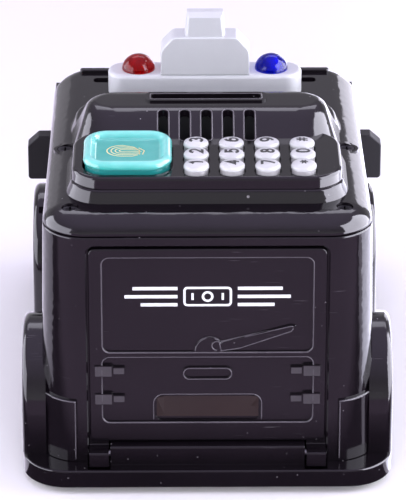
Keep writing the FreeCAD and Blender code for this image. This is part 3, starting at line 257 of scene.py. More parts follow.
BLACK = (0.0050, 0.0036, 0.0054)
MATERIALS = {
    "black_shell": glossy_black("black_shell", BLACK),
    # Painted highlight: a lighter black for the beads on moulded edges, standing for the light their rounded
    # edges catch.
    "edge_highlight_black": satin_plastic("edge_highlight_black", (0.085, 0.077, 0.09), 0.3),
    "brown_black": satin_plastic("brown_black", (0.024, 0.013, 0.012), 0.4),
    "frosted_black": satin_plastic("frosted_black", (0.05, 0.043, 0.052), 0.48, 0.3, 260.0, 0.35),
    "mirror_black": satin_plastic("mirror_black", (0.009, 0.008, 0.010), 0.55, ior=1.35),
    "wheel_plastic": satin_plastic("wheel_plastic", (0.014, 0.014, 0.016), 0.5, specks=0.1),
    "steel": metal("steel", (0.62, 0.62, 0.64)),
    "dark_steel": metal("dark_steel", (0.035, 0.032, 0.04), 0.35),
    "copper_winding": metal("copper_winding", (0.75, 0.34, 0.16), 0.35, (60, 1, 1)),
    "clear_window": clear_plastic("clear_window", (0.10, 0.11, 0.12), 0.04, 0.6),
    "white_keys": key_plastic("white_keys"),
    "teal_pad": pad_plastic("teal_pad"),
    "light_grey": satin_plastic("light_grey", (0.60, 0.615, 0.645), 0.34, 0.05, waxy=0.15),
    "red_clear": clear_plastic("red_clear", (0.62, 0.0, 0.002), 0.03, 0.95, 0.12, 1.32),
    "blue_clear": clear_plastic("blue_clear", (0.0, 0.010, 0.66), 0.03, 0.95, 0.12, 1.32),
    "led_milky": satin_plastic("led_milky", (0.75, 0.76, 0.78), 0.2, 0.03, waxy=0.4),
    "membrane_rubber": satin_plastic("membrane_rubber", (0.30, 0.30, 0.31), 0.7),
    "board_green": circuit_board("board_green"),
    "inner_plastic": satin_plastic("inner_plastic", (0.03, 0.03, 0.034), 0.5),
    "motor_can": metal("motor_can", (0.6, 0.6, 0.62), 0.25, (30, 1, 1)),
    "speaker_black": satin_plastic("speaker_black", (0.03, 0.03, 0.03), 0.7),
    "wire_red": satin_plastic("wire_red", (0.55, 0.03, 0.03), 0.4),
    "cell_wrap": satin_plastic("cell_wrap", (0.05, 0.16, 0.42), 0.3),
    "black_ink": satin_plastic("black_ink", (0.012, 0.012, 0.014), 0.35, 0.2),
    "gold_ink": satin_plastic("gold_ink", (0.82, 0.76, 0.36), 0.3, 0.1),
    "white_ink": satin_plastic("white_ink", (0.86, 0.88, 0.90), 0.4, 0.05, specks=0.01),
    "bowl_chrome": metal("bowl_chrome", (0.8, 0.8, 0.82), 0.08, (1, 1, 1)),
}


# ------------------------------------------------------------------ mesh tools
def add_object(name, mesh, slot, node):
    """Links a mesh, gives it its material and lets it ride with a node's body."""
    made = bpy.data.objects.new(name, mesh)
    bpy.context.scene.collection.objects.link(made)
    mesh.materials.clear()
    mesh.materials.append(MATERIALS[slot])
    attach(made, NODE_BODY[node])
    return made


def even_normals(made, angle):
    """Smooth shading that leaves flat faces flat."""
    made.data.shade_smooth()
    made.data.set_sharp_from_angle(angle=math.radians(angle))
    weighted = made.modifiers.new("normals", "WEIGHTED_NORMAL")
    weighted.keep_sharp = True
    weighted.weight = 80


def bevel_edges(made, width, angle):
    """Rounded edges where two faces meet at more than an angle; the width is in millimetres."""
    edge = made.modifiers.new("edges", "BEVEL")
    edge.width = width * MM
    edge.segments = 2
    edge.limit_method = "ANGLE"
    edge.angle_limit = math.radians(angle)
    edge.use_clamp_overlap = True


def finish_mesh(work, name, slot, node):
    """Turns a bmesh into a piece, faces outwards."""
    bmesh.ops.recalc_face_normals(work, faces=work.faces)
    mesh = bpy.data.meshes.new(name)
    work.to_mesh(mesh)
    work.free()
    return add_object(name, mesh, slot, node)


def refine(node, bevel=0.0, reshape=None):
    """A CAD node's own form with joined faces, softened edges and clean shading in its place."""
    sharp_angle, flat_angle, same_point = 30.0, math.radians(0.5), 2e-6
    mesh = frame["nodes"][node].data.copy()
    if "custom_normal" in mesh.attributes:
        mesh.attributes.remove(mesh.attributes["custom_normal"])
    work = bmesh.new()
    work.from_mesh(mesh)
    bmesh.ops.remove_doubles(work, verts=work.verts, dist=same_point)
    bmesh.ops.dissolve_degenerate(work, edges=work.edges, dist=same_point / 2)
    if reshape:
        for vert in work.verts:
            vert.co = reshape(vert.co)
    if bevel:
        bmesh.ops.dissolve_limit(work, angle_limit=flat_angle, verts=work.verts, edges=work.edges)
    work.to_mesh(mesh)
    work.free()
    made = add_object(node + "_finished", mesh, NODE_SLOT[node], node)
    if bevel:
        bevel_edges(made, bevel, sharp_angle)
    even_normals(made, sharp_angle)
    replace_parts(made, node)


def skin(name, rings, slot, node, angle=35.0):
    """Closed skin over rings that all have the same number of points."""
    work = bmesh.new()
    loops = [[work.verts.new(point) for point in ring] for ring in rings]
    count = len(loops[0])
    for lower, upper in zip(loops, loops[1:]):
        for i in range(count):
            j = (i + 1) % count
            work.faces.new((lower[i], lower[j], upper[j], upper[i]))
    work.faces.new(list(reversed(loops[0])))
    work.faces.new(loops[-1])
    made = finish_mesh(work, name, slot, node)
    even_normals(made, angle)
    return made


def circle(x, y, z, radius, count=48):
    turns = [2 * math.pi * i / count for i in range(count)]
    return [Vector((x + radius * math.cos(a), y + radius * math.sin(a), z)) for a in turns]


def rounded_rectangle(x, y, z, half_x, half_y, corner, per_corner=10):
    points = []
    for k, (sx, sy) in enumerate(((1, 1), (-1, 1), (-1, -1), (1, -1))):
        for i in range(per_corner + 1):
            a = math.pi / 2 * (k + i / per_corner)
            points.append(Vector((x + sx * (half_x - corner) + corner * math.cos(a),
                                  y + sy * (half_y - corner) + corner * math.sin(a), z)))
    return points


def surface(made):
    """Search tree over an object's mesh, for laying details on it."""
    mesh = made.data
    return BVHTree.FromPolygons([v.co for v in mesh.vertices], [p.vertices for p in mesh.polygons])


def laid(tree, start, way, rise):
    """The point where a ray meets a surface, raised from it towards the ray's start."""
    way = Vector(way)
    return tree.ray_cast(Vector(start), way)[0] - way * rise


FORWARD, DOWN = (0, 1, 0), (0, 0, -1)
CLEAR = 0.01         # how far before a surface its rays start


def ribbons(name, strokes, width, lift, place, slot, node, crown=1.0):
    """Raised bands along strokes of (u, v) points, laid on a surface by place(u, v, rise).

    The side edges rise to crown times the lift of the middle, so a crown below 1 makes a rounded bead.
    """
    work = bmesh.new()
    for stroke in strokes:
        looped = (Vector(stroke[0]) - Vector(stroke[-1])).length < 1e-9
        points = [Vector(p) for p in (stroke[:-1] if looped else stroke)]
        count = len(points)
        loops = []
        for i, point in enumerate(points):
            before = points[i - 1] if (i > 0 or looped) else point
            after = points[(i + 1) % count] if (i < count - 1 or looped) else point
            run_in = (point - before).normalized() if point != before else (after - point).normalized()
            run_out = (after - point).normalized() if after != point else run_in
            along = (run_in + run_out).normalized()
            if not looped and i in (0, count - 1):
                point = point + along * (width * 0.25 if i else -width * 0.25)
            side = Vector((-along.y, along.x))
            reach = width / 2 / max(0.5, along.dot(run_out))
            left, right = point + side * reach, point - side * reach
            edge = lift * crown
            section = ((left, edge), (point, lift), (right, edge), (right, -lift), (left, -lift))
            loops.append([work.verts.new(place(p.x, p.y, rise)) for p, rise in section])
        pairs = list(zip(loops, loops[1:])) + ([(loops[-1], loops[0])] if looped else [])
        for a, b in pairs:
            for k in range(len(a)):
                m = (k + 1) % len(a)
                work.faces.new((a[k], a[m], b[m], b[k]))
        if not looped:
            work.faces.new(list(reversed(loops[0])))
            work.faces.new(loops[-1])
    made = finish_mesh(work, name, slot, node)
    if crown < 1:
        made.data.shade_smooth()


def beads(name, lines, step, width, lift, place, node):
    """Rounded beads, lift in millimetres, along moulded edges; their lighter black is a painted highlight.
    """
    strokes = [dense(line, step) for line in lines]
    ribbons(name, strokes, width, lift * MM, place, "edge_highlight_black", node, 0.3)


def arc(x, y, rx, ry, start, end, steps=16):
    """Points on an ellipse between two angles in degrees."""
    turns = [math.radians(start + (end - start) * i / steps) for i in range(steps + 1)]
    points = [(x + rx * math.cos(a), y + ry * math.sin(a)) for a in turns]
    if abs(end - start) == 360:
        points[-1] = points[0]
    return points


def dense(points, step):
    """The same line with extra points, so that it follows a curved surface."""
    result = [points[0]]
    for a, b in zip(points, points[1:]):
        pieces = max(1, int(math.dist(a, b) / step))
        for i in range(1, pieces + 1):
            share = i / pieces
            result.append((a[0] + (b[0] - a[0]) * share, a[1] + (b[1] - a[1]) * share))
    return result


# ------------------------------------------------------------------ keys
# Strokes of the key figures in a box 0.6 wide and 1 high.
SIX = [arc(0.3, 0.31, 0.29, 0.31, 0, 360), arc(0.42, 0.38, 0.41, 0.60, 172, 98)]
FIGURES = {
    "0": [arc(0.3, 0.5, 0.28, 0.5, 0, 360, 24)],
    "1": [[(0.10, 0.76), (0.36, 1.0), (0.36, 0.0)]],
    "2": [arc(0.3, 0.71, 0.27, 0.29, 165, -30) + [(0.03, 0.0), (0.6, 0.0)]],
    "3": [arc(0.28, 0.745, 0.25, 0.255, 150, -85), arc(0.28, 0.25, 0.30, 0.25, 88, -150)],
    "4": [[(0.44, 0.0), (0.44, 1.0), (0.0, 0.30), (0.62, 0.30)]],
    "5": [[(0.56, 1.0), (0.13, 1.0), (0.07, 0.53)] + arc(0.28, 0.32, 0.31, 0.32, 118, -150)],
    "6": SIX,
    "7": [[(0.02, 1.0), (0.58, 1.0), (0.20, 0.0)]],
    "8": [arc(0.3, 0.76, 0.23, 0.24, 0, 360), arc(0.3, 0.27, 0.28, 0.27, 0, 360)],
    "9": [[(0.6 - x, 1.0 - y) for x, y in stroke] for stroke in SIX],
    "star": [[(0.3 + way * 0.3 * math.sin(a), 0.5 + way * 0.3 * math.cos(a)) for way in (-1, 1)]
             for a in (0.0, math.pi / 3, 2 * math.pi / 3)],
    "hash": [[(0.0, 0.34), (0.62, 0.34)], [(0.06, 0.68), (0.68, 0.68)], [(0.12, 0.08), (0.24, 0.94)],
             [(0.40, 0.08), (0.52, 0.94)]],
}
KEY_FLANGE = 5.1 * MM     # radius of the hidden flange, which the key's box takes in
FIGURE_HIGH, FIGURE_WIDE = 4.5 * MM, 4.9 * MM
STROKE, FINE_STROKE = 0.23, 0.15     # widths as shares of the figure's height
INK_LIFT = 0.04 * MM
# Cap profile: radius and drop from the apex, in millimetres.
KEY_PROFILE = ((4.50, 6.2), (4.50, 2.45), (4.72, 2.28), (4.75, 1.75), (4.66, 1.25), (4.36, 0.82),
               (3.8, 0.52), (3.0, 0.29), (2.0, 0.12), (1.0, 0.03), (0.3, 0.0))


def make_keys():
    """Domed caps with printed figures that stand with their heads to the left."""
    for node in KEYS:
        low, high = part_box(node)
        x, y = (low.x + high.x) / 2, high.y - KEY_FLANGE
        rings = [circle(x, y, high.z - drop * MM, r * MM) for r, drop in KEY_PROFILE]
        cap = skin(node + "_cap", rings, "white_keys", node, 50.0)
        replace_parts(cap, node)
        tree = surface(cap)

        def place(u, v, rise):
            start = (x - (v - 0.5) * FIGURE_HIGH, y + (u - 0.3) * FIGURE_WIDE, high.z + CLEAR)
            return laid(tree, start, DOWN, rise)

        figure = node.split("_")[1]
        strokes = [dense(stroke, 0.12) for stroke in FIGURES[figure]]
        width = FINE_STROKE if figure in ("star", "hash") else STROKE
        ribbons(node + "_figure", strokes, width, INK_LIFT, place, "black_ink", node)


# ------------------------------------------------------------------ touch pad
# Pad profile: inset from the edge and drop from the top, in millimetres.
PAD_PROFILE = ((0.6, 6.4), (0.6, 3.0), (0.15, 2.75), (0.0, 2.3), (0.05, 1.7), (0.3, 1.05), (0.8, 0.5),
               (1.5, 0.14), (2.2, 0.0), (2.8, 0.1), (3.2, 0.42), (4.0, 1.3), (4.7, 1.8), (5.3, 1.95),
               (7.0, 2.0))


def make_pad():
    """Puffy touch pad with a dish and a plain print of curved lines."""
    node = "fingerprint_button"
    low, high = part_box(node)
    flange, corner = 0.5 * MM, 9.0 * MM
    mid = (low + high) / 2
    half_x, half_y = (high.x - low.x) / 2 - flange, (high.y - low.y) / 2 - flange
    rings = [rounded_rectangle(mid.x, mid.y, high.z - drop * MM, half_x - inset * MM, half_y - inset * MM,
                               max(corner - inset * MM, 2.5 * MM), 12) for inset, drop in PAD_PROFILE]
    pad = skin("pad_cap", rings, "teal_pad", node, 60.0)
    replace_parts(pad, node)
    tree = surface(pad)

    def place(u, v, rise):
        return laid(tree, (mid.x + u * MM, mid.y + v * MM, high.z + CLEAR), DOWN, rise)

    ridges = []
    for i in range(4):
        r = 1.0 + 1.35 * i
        top_end, low_end = 4.6 - 0.65 * i, 6.6 - 0.45 * i
        ridges.append([(top_end, r * 0.62), (-2.0, r)] + arc(-2.0, 0.0, r * 1.15, r, 90, 270, 14)[1:]
                      + [(1.8, -r), (low_end - 1.6, -r * 0.8)])
    for i in (0, 1):
        ridges.append([(2.4 + 1.8 * i, 3.0 - 0.5 * i), (4.4 + 1.8 * i, 0.0), (4.4 + 1.2 * i, -3.4)])
    lines = [dense(ridge, 0.5) for ridge in ridges]
    ribbons("pad_print", lines, 0.42, 0.03 * MM, place, "gold_ink", node)


# ------------------------------------------------------------------ door mark
MARK_DROP = 19.9     # from the door's top edge to the middle of the mark
MARK_LIFT = 0.03 * MM
STRIPE_START, STRIPE_ENDS = 11.5, (27.5, 30.5, 24.5)
STRIPE_WIDE, NOTE_LINE = 1.35, 0.9


def make_door_mark():
    """Banknote pictogram between speed stripes, printed on the upper door panel."""
    node = "rear_door"
    low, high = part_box(node)
    tree = surface(frame["nodes"][node])

    def place(u, v, rise):
        return laid(tree, (u * MM, low.y - CLEAR, high.z - MARK_DROP * MM + v * MM), FORWARD, rise)

    half_high = 4.0
    stripes = []
    for side in SIDES:
        for row, end in enumerate(STRIPE_ENDS):
            v = (1 - row) * (half_high - STRIPE_WIDE / 2)
            stripes.append([(side * STRIPE_START, v), (side * end, v)])
    ribbons("door_stripes", stripes, STRIPE_WIDE, MARK_LIFT, place, "white_ink", node)
    x, y, r = 8.6, half_high - NOTE_LINE / 2, 1.2
    note = arc(x - r, y - r, r, r, 0, 90, 6) + arc(r - x, y - r, r, r, 90, 180, 6)
    note += arc(r - x, r - y, r, r, 180, 270, 6) + arc(x - r, r - y, r, r, 270, 360, 6)
    fine = [note + [note[0]], arc(0, 0, 1.75, 1.75, 0, 360, 24)]
    fine += [[(side * 5.6, -1.2), (side * 5.6, 1.2)] for side in SIDES]
    ribbons("door_note", fine, NOTE_LINE, MARK_LIFT, place, "white_ink", node)


# ------------------------------------------------------------------ moulded edges
# The door's face lies 8.6 mm in from the chassis's rear edge. Above the foot height only the straps stand
# before it; they keep this share of their rise.
DOOR_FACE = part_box("chassis_base")[0].y + 8.6 * MM
STRAP_FOOT = 30.0 * MM
STRAP_RISE = 0.4
# Places on the door are (across from the middle, down from the top edge). The outlines are half width,
# first edge, last edge and corner radius.
STRAP_DROPS = (50.2, 61.95)
UPPER_PANEL, LOWER_PANEL, OVAL = (39.3, 3.6, 42.7, 2.9), (39.5, 44.6, 72.1, 2.9), (9.0, 49.4, 53.9, 2.2)
WIPER_ARM = [(5.0, 42.0), (12.0, 40.9), (31.1, 34.0), (32.6, 32.0), (30.6, 32.0), (4.4, 38.6), (5.0, 42.0)]
WIPER_DISC, WIPER_HUB = (0.8, 42.0, 5.4), (3.4, 39.8, 1.8)
PLATE_FLOOR, PLATE_FLOOR_HIGH = [(-17.0, 66.0), (17.0, 66.0)], 8.6
# Outlines on the roof, which count lengthways from the chassis's rear edge.
SPEAKER_SLOT, SPEAKER_MIDDLES = (2.2, 60.1, 73.4, 1.9), (-16.4, -8.2, 0.0, 8.2, 16.4)
COIN_SLOT = (21.4, 81.4, 86.6, 0.8)
FACE_LIFT, FLOOR_LIFT = 0.1 * MM, 0.04 * MM


def flatter_straps(point):
    """Bring the strap hinges closer to the door's face."""
    if point.y < DOOR_FACE and point.z > STRAP_FOOT:
        return Vector((point.x, DOOR_FACE - (DOOR_FACE - point.y) * STRAP_RISE, point.z))
    return point


def panel_outline(half, first, last, corner):
    """Closed rounded outline, half to each side of the middle, from the first edge to the last."""
    line = []
    for k, (x, v) in enumerate(((1, first), (-1, first), (-1, last), (1, last))):
        inset = corner if k < 2 else -corner
        line += arc(x * (half - corner), v + inset, corner, corner, -90 * k, -90 * (k + 1), 6)
    return line + [line[0]]


def make_door_beads():
    """Rounded beads with painted highlights on the moulded edges of the door, and the frosted faces of the
    strap hinges.
    """
    node = "rear_door"
    low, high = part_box(node)
    tree = surface(frame["nodes"][node])

    def place(u, v, rise):
        hit = laid(tree, (u * MM, low.y - CLEAR, high.z - v * MM), FORWARD, 0)
        return flatter_straps(hit) - Vector(FORWARD) * rise

    frames = [panel_outline(*UPPER_PANEL), panel_outline(*LOWER_PANEL)]
    beads("door_frame_beads", frames, 2.0, 0.5, 0.16, place, node)
    foot, shoulder, half, corner = 71.2, 64.5, 16.4, 3.9
    plate = [(-half - corner, foot)] + arc(-half, shoulder, corner, corner, 180, 270, 6)
    plate += arc(half, shoulder, corner, corner, 270, 360, 6) + [(half + corner, foot)]
    x, v, radius = WIPER_DISC
    disc = arc(x, v, radius, radius, 180, 322, 14)
    x, v, radius = WIPER_HUB
    hub = arc(x, v, radius, radius, 90, 330, 10)
    fine = [panel_outline(*OVAL), disc, WIPER_ARM, hub, plate]
    beads("door_fine_beads", fine, 1.0, 0.42, 0.14, place, node)

    def faces(name, start, end, width):
        lines = [dense([(side * start, v), (side * end, v)], 1.0) for side in SIDES for v in STRAP_DROPS]
        ribbons(name, lines, width, FACE_LIFT, place, "frosted_black", node)

    faces("strap_hinges_wide", 36.9, 41.1, 4.0)
    floor = dense(PLATE_FLOOR, 1.0)
    ribbons("plate_floor", [floor], PLATE_FLOOR_HIGH, FLOOR_LIFT, place, "brown_black", node)
    faces("strap_hinges_slim", 31.8, 34.6, 2.4)


def make_roof_beads():
    """Rounded beads with painted highlights round the speaker slots and the coin slot of the hump."""
    node = "roof_cover"
    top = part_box(node)[1].z
    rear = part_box("chassis_base")[0].y
    tree = surface(frame["nodes"][node])

    def place(u, v, rise):
        """Over an opening the nearest face counts."""
        above = Vector((u * MM, rear + v * MM, top))
        hit = tree.ray_cast(above, Vector(DOWN))[0] or tree.find_nearest(above)[0]
        return hit + Vector((0, 0, rise))

    slot = panel_outline(*SPEAKER_SLOT)
    lines = [[(x + middle, v) for x, v in slot] for middle in SPEAKER_MIDDLES]
    lines.append(panel_outline(*COIN_SLOT))
    beads("roof_slot_beads", lines, 0.6, 0.4, 0.12, place, node)


def make_guard_beads():
    """Rounded bead with a painted highlight on the inner and upper edges of the corner guards."""
    node = "body_shell"
    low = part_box(node)[0]
    tree = surface(frame["nodes"][node])

    def place(u, v, rise):
        return laid(tree, (u * MM, low.y - CLEAR, low.z + v * MM), FORWARD, rise)

    inner, foot, top, outer = 49.7, 1.5, 25.3, 58.5
    lines = [[(side * inner, foot), (side * inner, top), (side * outer, top)] for side in SIDES]
    beads("guard_beads", lines, 1.0, 0.45, 0.14, place, node)


# ------------------------------------------------------------------ lamps
def make_beacon(node):
    """Smooth clear dome with a faceted hollow that sparkles."""
    low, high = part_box(node)
    mid = (low + high) / 2
    radius, rise = (high.x - low.x) / 2, high.z - low.z
    hollow, facets, steps = 1 - 1.5 * MM / radius, 9, 4
    outer = []
    rows = 16
    for i in range(rows):
        a = math.pi / 2 * i / rows
        outer.append(circle(mid.x, mid.y, low.z + rise * math.sin(a), radius * math.cos(a)))
    outer.append(circle(mid.x, mid.y, high.z - 0.003 * MM, 0.12 * MM))
    work = bmesh.new()
    loops = [[work.verts.new(point) for point in ring] for ring in outer]
    inner = []
    for i in range(steps + 1):
        a = math.pi / 2 * i / (steps + 0.6)
        z = low.z + rise * hollow * math.sin(a)
        ring = circle(mid.x, mid.y, z, radius * hollow * math.cos(a), facets)
        inner.append([work.verts.new(point) for point in ring])
    for family, smooth in ((loops, True), (inner, False)):
        for lower, upper in zip(family, family[1:]):
            count = len(lower)
            for i in range(count):
                j = (i + 1) % count
                face = work.faces.new((lower[i], lower[j], upper[j], upper[i]))
                face.smooth = smooth
        work.faces.new(family[-1]).smooth = False
    edges = [e for family in (loops, inner) for e in work.edges if all(v in family[0] for v in e.verts)]
    bmesh.ops.bridge_loops(work, edges=edges)
    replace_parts(finish_mesh(work, node + "_dome", NODE_SLOT[node], node), node)


# Bowl profile, front, back and front again: share of the lens's radius and depth in millimetres.
BOWL_PROFILE = ((0.96, 0.0), (0.9, 2.0), (0.72, 4.4), (0.42, 6.2), (0.12, 6.9), (0.12, 8.0), (0.6, 7.2),
                (0.96, 3.4), (1.03, 0.0))
BOWL_GAP = 0.4       # between the lens and the bowl


def make_headlight_bowls():
    """Plated bowls behind the headlight lenses."""
    node = "headlight_lenses"
    low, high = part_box(node)
    radius = (high.z - low.z) / 2
    mid_z = (low.z + high.z) / 2
    for side in SIDES:
        x = side * (high.x - radius)
        rings = []
        for share, depth in BOWL_PROFILE:
            back = low.y - (BOWL_GAP + depth) * MM
            rings.append([Vector((p.x, back, p.y)) for p in circle(x, mid_z, 0, radius * share)])
        skin("headlight_bowl_" + ("right" if side > 0 else "left"), rings + [rings[0]], "bowl_chrome", node)


# ------------------------------------------------------------------ cab details
def make_cab_lines():
    """Moulded door outline, handle and sill rib on each side of the cab."""
    node = "body_shell"
    low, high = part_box(node)
    tree = surface(frame["nodes"][node])
    window_low, window_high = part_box("side_windows")
    rear, front = window_low.y - 4 * MM, window_high.y + 3.5 * MM
    foot, step = low.z + 48 * MM, 4 * MM
    for side, name in ((-1, "left"), (1, "right")):
        def place(u, v, rise):
            return laid(tree, (side * (high.x + CLEAR), u, v), (-side, 0, 0), rise)

        ribs = [dense([(rear, window_high.z + 2.5 * MM), (rear, foot), (front, foot)], step)]
        for height in (foot + 6 * MM, foot + 30 * MM):
            ribs.append(dense([(low.y + 22 * MM, height), (rear - 8 * MM, height)], step))
        ribbons("cab_lines_" + name, ribs, 1.0 * MM, 0.3 * MM, place, "black_shell", node)
        handle = dense([(rear + 4 * MM, foot + 8 * MM), (rear + 13 * MM, foot + 8 * MM)], 2 * MM)
        ribbons("cab_handle_" + name, [handle], 2.6 * MM, 1.0 * MM, place, "mirror_black", node)


# ------------------------------------------------------------------ camera and floor
CAMERA_DISTANCE, LENS_LENGTH = 1.394, 259.8
CAMERA_RISE, CAMERA_TURN = math.radians(25.15), math.radians(-0.46)
AIM_X, AIM_FORWARD, AIM_Z = -0.00125, 0.06875, 0.06917     # the last two from the rear edge and the ground
FLOOR_HALF = 4.0


def place_object(name, data):
    made = bpy.data.objects.new(name, data)
    bpy.context.scene.collection.objects.link(made)
    return made


def aim(thing, target):
    """Turns a camera or a lamp towards a point."""
    thing.rotation_euler = (target - thing.location).to_track_quat("-Z", "Y").to_euler()


def square(half, z):
    return [(-half, -half, z), (half, -half, z), (half, half, z), (-half, half, z)]


def make_camera():
    target = Vector((AIM_X, CAD_BOX[0][1] + AIM_FORWARD, AIM_Z))
    level = math.cos(CAMERA_RISE)
    away = Vector((math.sin(CAMERA_TURN) * level, -math.cos(CAMERA_TURN) * level, math.sin(CAMERA_RISE)))
    camera = place_object("camera", bpy.data.cameras.new("camera"))
    camera.location = target + away * CAMERA_DISTANCE
    aim(camera, target)
    camera.data.sensor_width = 36
    camera.data.lens = LENS_LENGTH
    camera.data.clip_start = 0.01
    bpy.context.scene.camera = camera


def make_floor():
    mesh = bpy.data.meshes.new("floor")
    mesh.from_pydata(square(FLOOR_HALF, 0), [], [(0, 1, 2, 3)])
    g = Graph("floor_paper")
    tint = g.blend(g.ramp(g.noise(3.0, 3.0), 0.3, 0.7), rgb(0.90, 0.90, 0.905), rgb(0.93, 0.93, 0.93))
    g.shade(Base_Color=tint, Roughness=0.7)
    mesh.materials.append(g.material)
    place_object("floor", mesh)


# ------------------------------------------------------------------ light
# Colours of the cards, each with its brightness.
BRIGHT, SOFT = (10.0, 9.8, 11.3), (5.5, 5.4, 6.2)
RIGHT_GLOW, EDGE_GLOW, LEFT_GLOW = (4.2, 4.1, 5.0), (1.3, 1.2, 1.5), (1.35, 1.25, 1.55)
FRONT_GLOW, FAINT, TOP_GLOW = (3.4, 3.3, 3.8), (0.8, 0.77, 0.86), (3.0, 2.9, 3.4)
FLOOR_GLOW = (0.56, 0.42, 0.62)
# The sky cards lie on a sphere round a point above the origin.
SKY_RADIUS, SKY_MIDDLE = 1.2, 0.08


def light_card(name, shape, tint, fade=None):
    """Glowing card that is only seen in reflections; fade is (full at y, dark at y, dark share)."""
    mesh = bpy.data.meshes.new(name)
    if isinstance(shape, bmesh.types.BMesh):
        shape.to_mesh(mesh)
        shape.free()
    else:
        mesh.from_pydata(shape, [], [tuple(range(len(shape)))])
    card = place_object(name, mesh)
    glow = Graph(name + "_glow")
    strength = glow.ramp(glow.noise(2.0, 1.0), 0.2, 0.8, 0.93, 1.07)
    if fade:
        full, dark, share = fade
        y = glow.node("ShaderNodeSeparateXYZ", {0: glow.place}).outputs["Y"]
        strength = glow.math("MULTIPLY", strength, glow.ramp(y, full, dark, 1.0, share))
    glow.shade(Base_Color=rgb(0, 0, 0), Emission_Color=rgb(*tint), Emission_Strength=strength)
    glow.shade(Specular_IOR_Level=0.0)
    mesh.materials.append(glow.material)
    card.visible_camera = False
    card.visible_diffuse = False
    card.visible_shadow = False


def between(ends, steps):
    """Evenly spaced angles in radians from one end to the other, given in degrees."""
    return [math.radians(ends[0] + (ends[1] - ends[0]) * i / steps) for i in range(steps + 1)]


def floor_sector(name, side, bearings, near, tint):
    """Part of the floor beside the truck, between two bearings seen from a rear corner."""
    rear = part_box("body_shell")[0].y
    corner = Vector((side * 0.058, rear + 0.006, 0.0016 if near else 0.0010))
    ways = [Vector((side * math.sin(a), -math.cos(a), 0)) for a in between(bearings, 12)]
    inner = [corner + way * near for way in reversed(ways)] if near else [corner]
    light_card(name, [corner + way * 1.3 for way in ways] + inner, tint)


def sky_card(name, bearings, heights, tint):
    """Curved softbox between two bearings (from the door end, to the right) and two heights, in degrees."""
    work = bmesh.new()
    rows = []
    for rise in between(heights, 6):
        level, z = SKY_RADIUS * math.cos(rise), SKY_MIDDLE + SKY_RADIUS * math.sin(rise)
        rows.append([work.verts.new((level * math.sin(turn), -level * math.cos(turn), z))
                     for turn in between(bearings, 12)])
    for lower, upper in zip(rows, rows[1:]):
        for i in range(len(lower) - 1):
            work.faces.new((lower[i], lower[i + 1], upper[i + 1], upper[i]))
    light_card(name, work, tint)


def softbox(name, place, width, height, power):
    lamp = bpy.data.lights.new(name, "AREA")
    lamp.shape = "RECTANGLE"
    lamp.size = width
    lamp.size_y = height
    lamp.energy = power
    lamp.color = (0.95, 0.95, 1.0)
    holder = place_object(name, lamp)
    holder.location = place
    aim(holder, Vector((0, 0, SKY_MIDDLE)))
    holder.visible_camera = False
    holder.visible_glossy = False


def make_world():
    """Pale surroundings for reflections and fill; the camera itself sees plain white."""
    world = bpy.data.worlds.new("studio")
    bpy.context.scene.world = world
    world.use_nodes = True
    tree = world.node_tree
    back = tree.nodes["Background"]
    path = tree.nodes.new("ShaderNodeLightPath")
    place = tree.nodes.new("ShaderNodeTexCoord")
    split = tree.nodes.new("ShaderNodeSeparateXYZ")
    tree.links.new(place.outputs["Generated"], split.inputs[0])
    ramp = tree.nodes.new("ShaderNodeValToRGB")
    first, last = ramp.color_ramp.elements
    first.position, first.color = 0.0, rgb(0.80, 0.79, 0.85)
    last.position, last.color = 1.0, rgb(0.92, 0.8, 1.14)
    ramp.color_ramp.elements.new(0.45).color = rgb(0.40, 0.38, 0.44)
    tree.links.new(split.outputs["Z"], ramp.inputs[0])
    mix = tree.nodes.new("ShaderNodeMix")
    mix.data_type = "RGBA"
    tree.links.new(path.outputs["Is Camera Ray"], mix.inputs["Factor"])
    tree.links.new(ramp.outputs["Color"], mix.inputs["A"])
    mix.inputs["B"].default_value = rgb(1.0, 1.0, 1.0)
    tree.links.new(mix.outputs["Result"], back.inputs["Color"])
    back.inputs["Strength"].default_value = 1.0
    bpy.context.scene.view_settings.view_transform = "Standard"


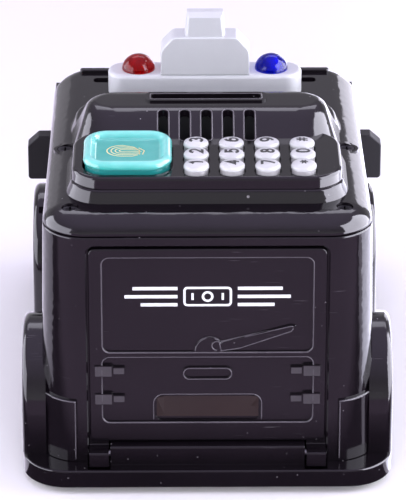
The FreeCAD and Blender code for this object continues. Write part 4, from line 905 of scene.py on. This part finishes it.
def studio():
    make_camera()
    make_floor()
    rear = CAD_BOX[0][1]
    light_card("floor_card", square(3.0, 0.0004), FLOOR_GLOW, (rear - 0.050, rear - 0.018, 0.12))
    floor_sector("floor_left", -1, (97, 178), 0.0, LEFT_GLOW)
    floor_sector("floor_right", 1, (97, 178), 0.0, RIGHT_GLOW)
    floor_sector("floor_right_soft", 1, (84, 97), 0.0, EDGE_GLOW)
    floor_sector("floor_left_far", -1, (36, 125), 0.30, SOFT)
    floor_sector("floor_right_far", 1, (36, 125), 0.30, BRIGHT)
    sky_card("left_window", (-125, -40), (-3, 33), SOFT)
    sky_card("right_window", (40, 125), (-3, 52), BRIGHT)
    sky_card("front_left", (-166, -148), (-3, 20), FAINT)
    sky_card("front_right", (148, 166), (-3, 20), FRONT_GLOW)
    light_card("overhead", [(-0.8, 1.0, 1.5), (0.8, 1.0, 1.5), (0.8, 1.7, 1.5), (-0.8, 1.7, 1.5)], TOP_GLOW)
    softbox("left_box", (-1.05, -0.05, 0.45), 0.6, 0.6, 6.0)
    softbox("right_box", (1.05, -0.05, 0.45), 0.6, 0.6, 9.0)
    softbox("top_box", (0.0, -0.25, 1.5), 1.0, 0.8, 2.0)
    softbox("fill_box", (0.0, -1.2, 0.6), 0.6, 0.4, 9.0)
    make_world()


# ------------------------------------------------------------------ build
# Width of the softened edges, in millimetres.
SHELL_EDGES = {"roof_cover": 0.3, "body_shell": 0.25, "chassis_base": 0.25}
PART_EDGES = {"light_bar_base": 0.35, "siren_housing": 0.45, "siren_cap": 0.35, "mirror_left": 0.4,
              "mirror_right": 0.4, "roof_screws": 0.0, "base_screws": 0.0, "wheel_pins": 0.3}

for cad_node, cad_object in frame["nodes"].items():
    cad_object.data.materials.clear()
    cad_object.data.materials.append(MATERIALS[NODE_SLOT[cad_node]])

refine("rear_door", 0.3, reshape=flatter_straps)
for shell, width in SHELL_EDGES.items():
    refine(shell, width)
for part in WHEELS + ["windscreen", "side_windows", "headlight_lenses", "front_grille", "beacon_leds"]:
    refine(part)
for part, width in PART_EDGES.items():
    refine(part, width)
make_keys()
make_pad()
make_door_mark()
make_door_beads()
make_guard_beads()
make_roof_beads()
make_beacon("red_lens")
make_beacon("blue_lens")
make_headlight_bowls()
make_cab_lines()

studio()
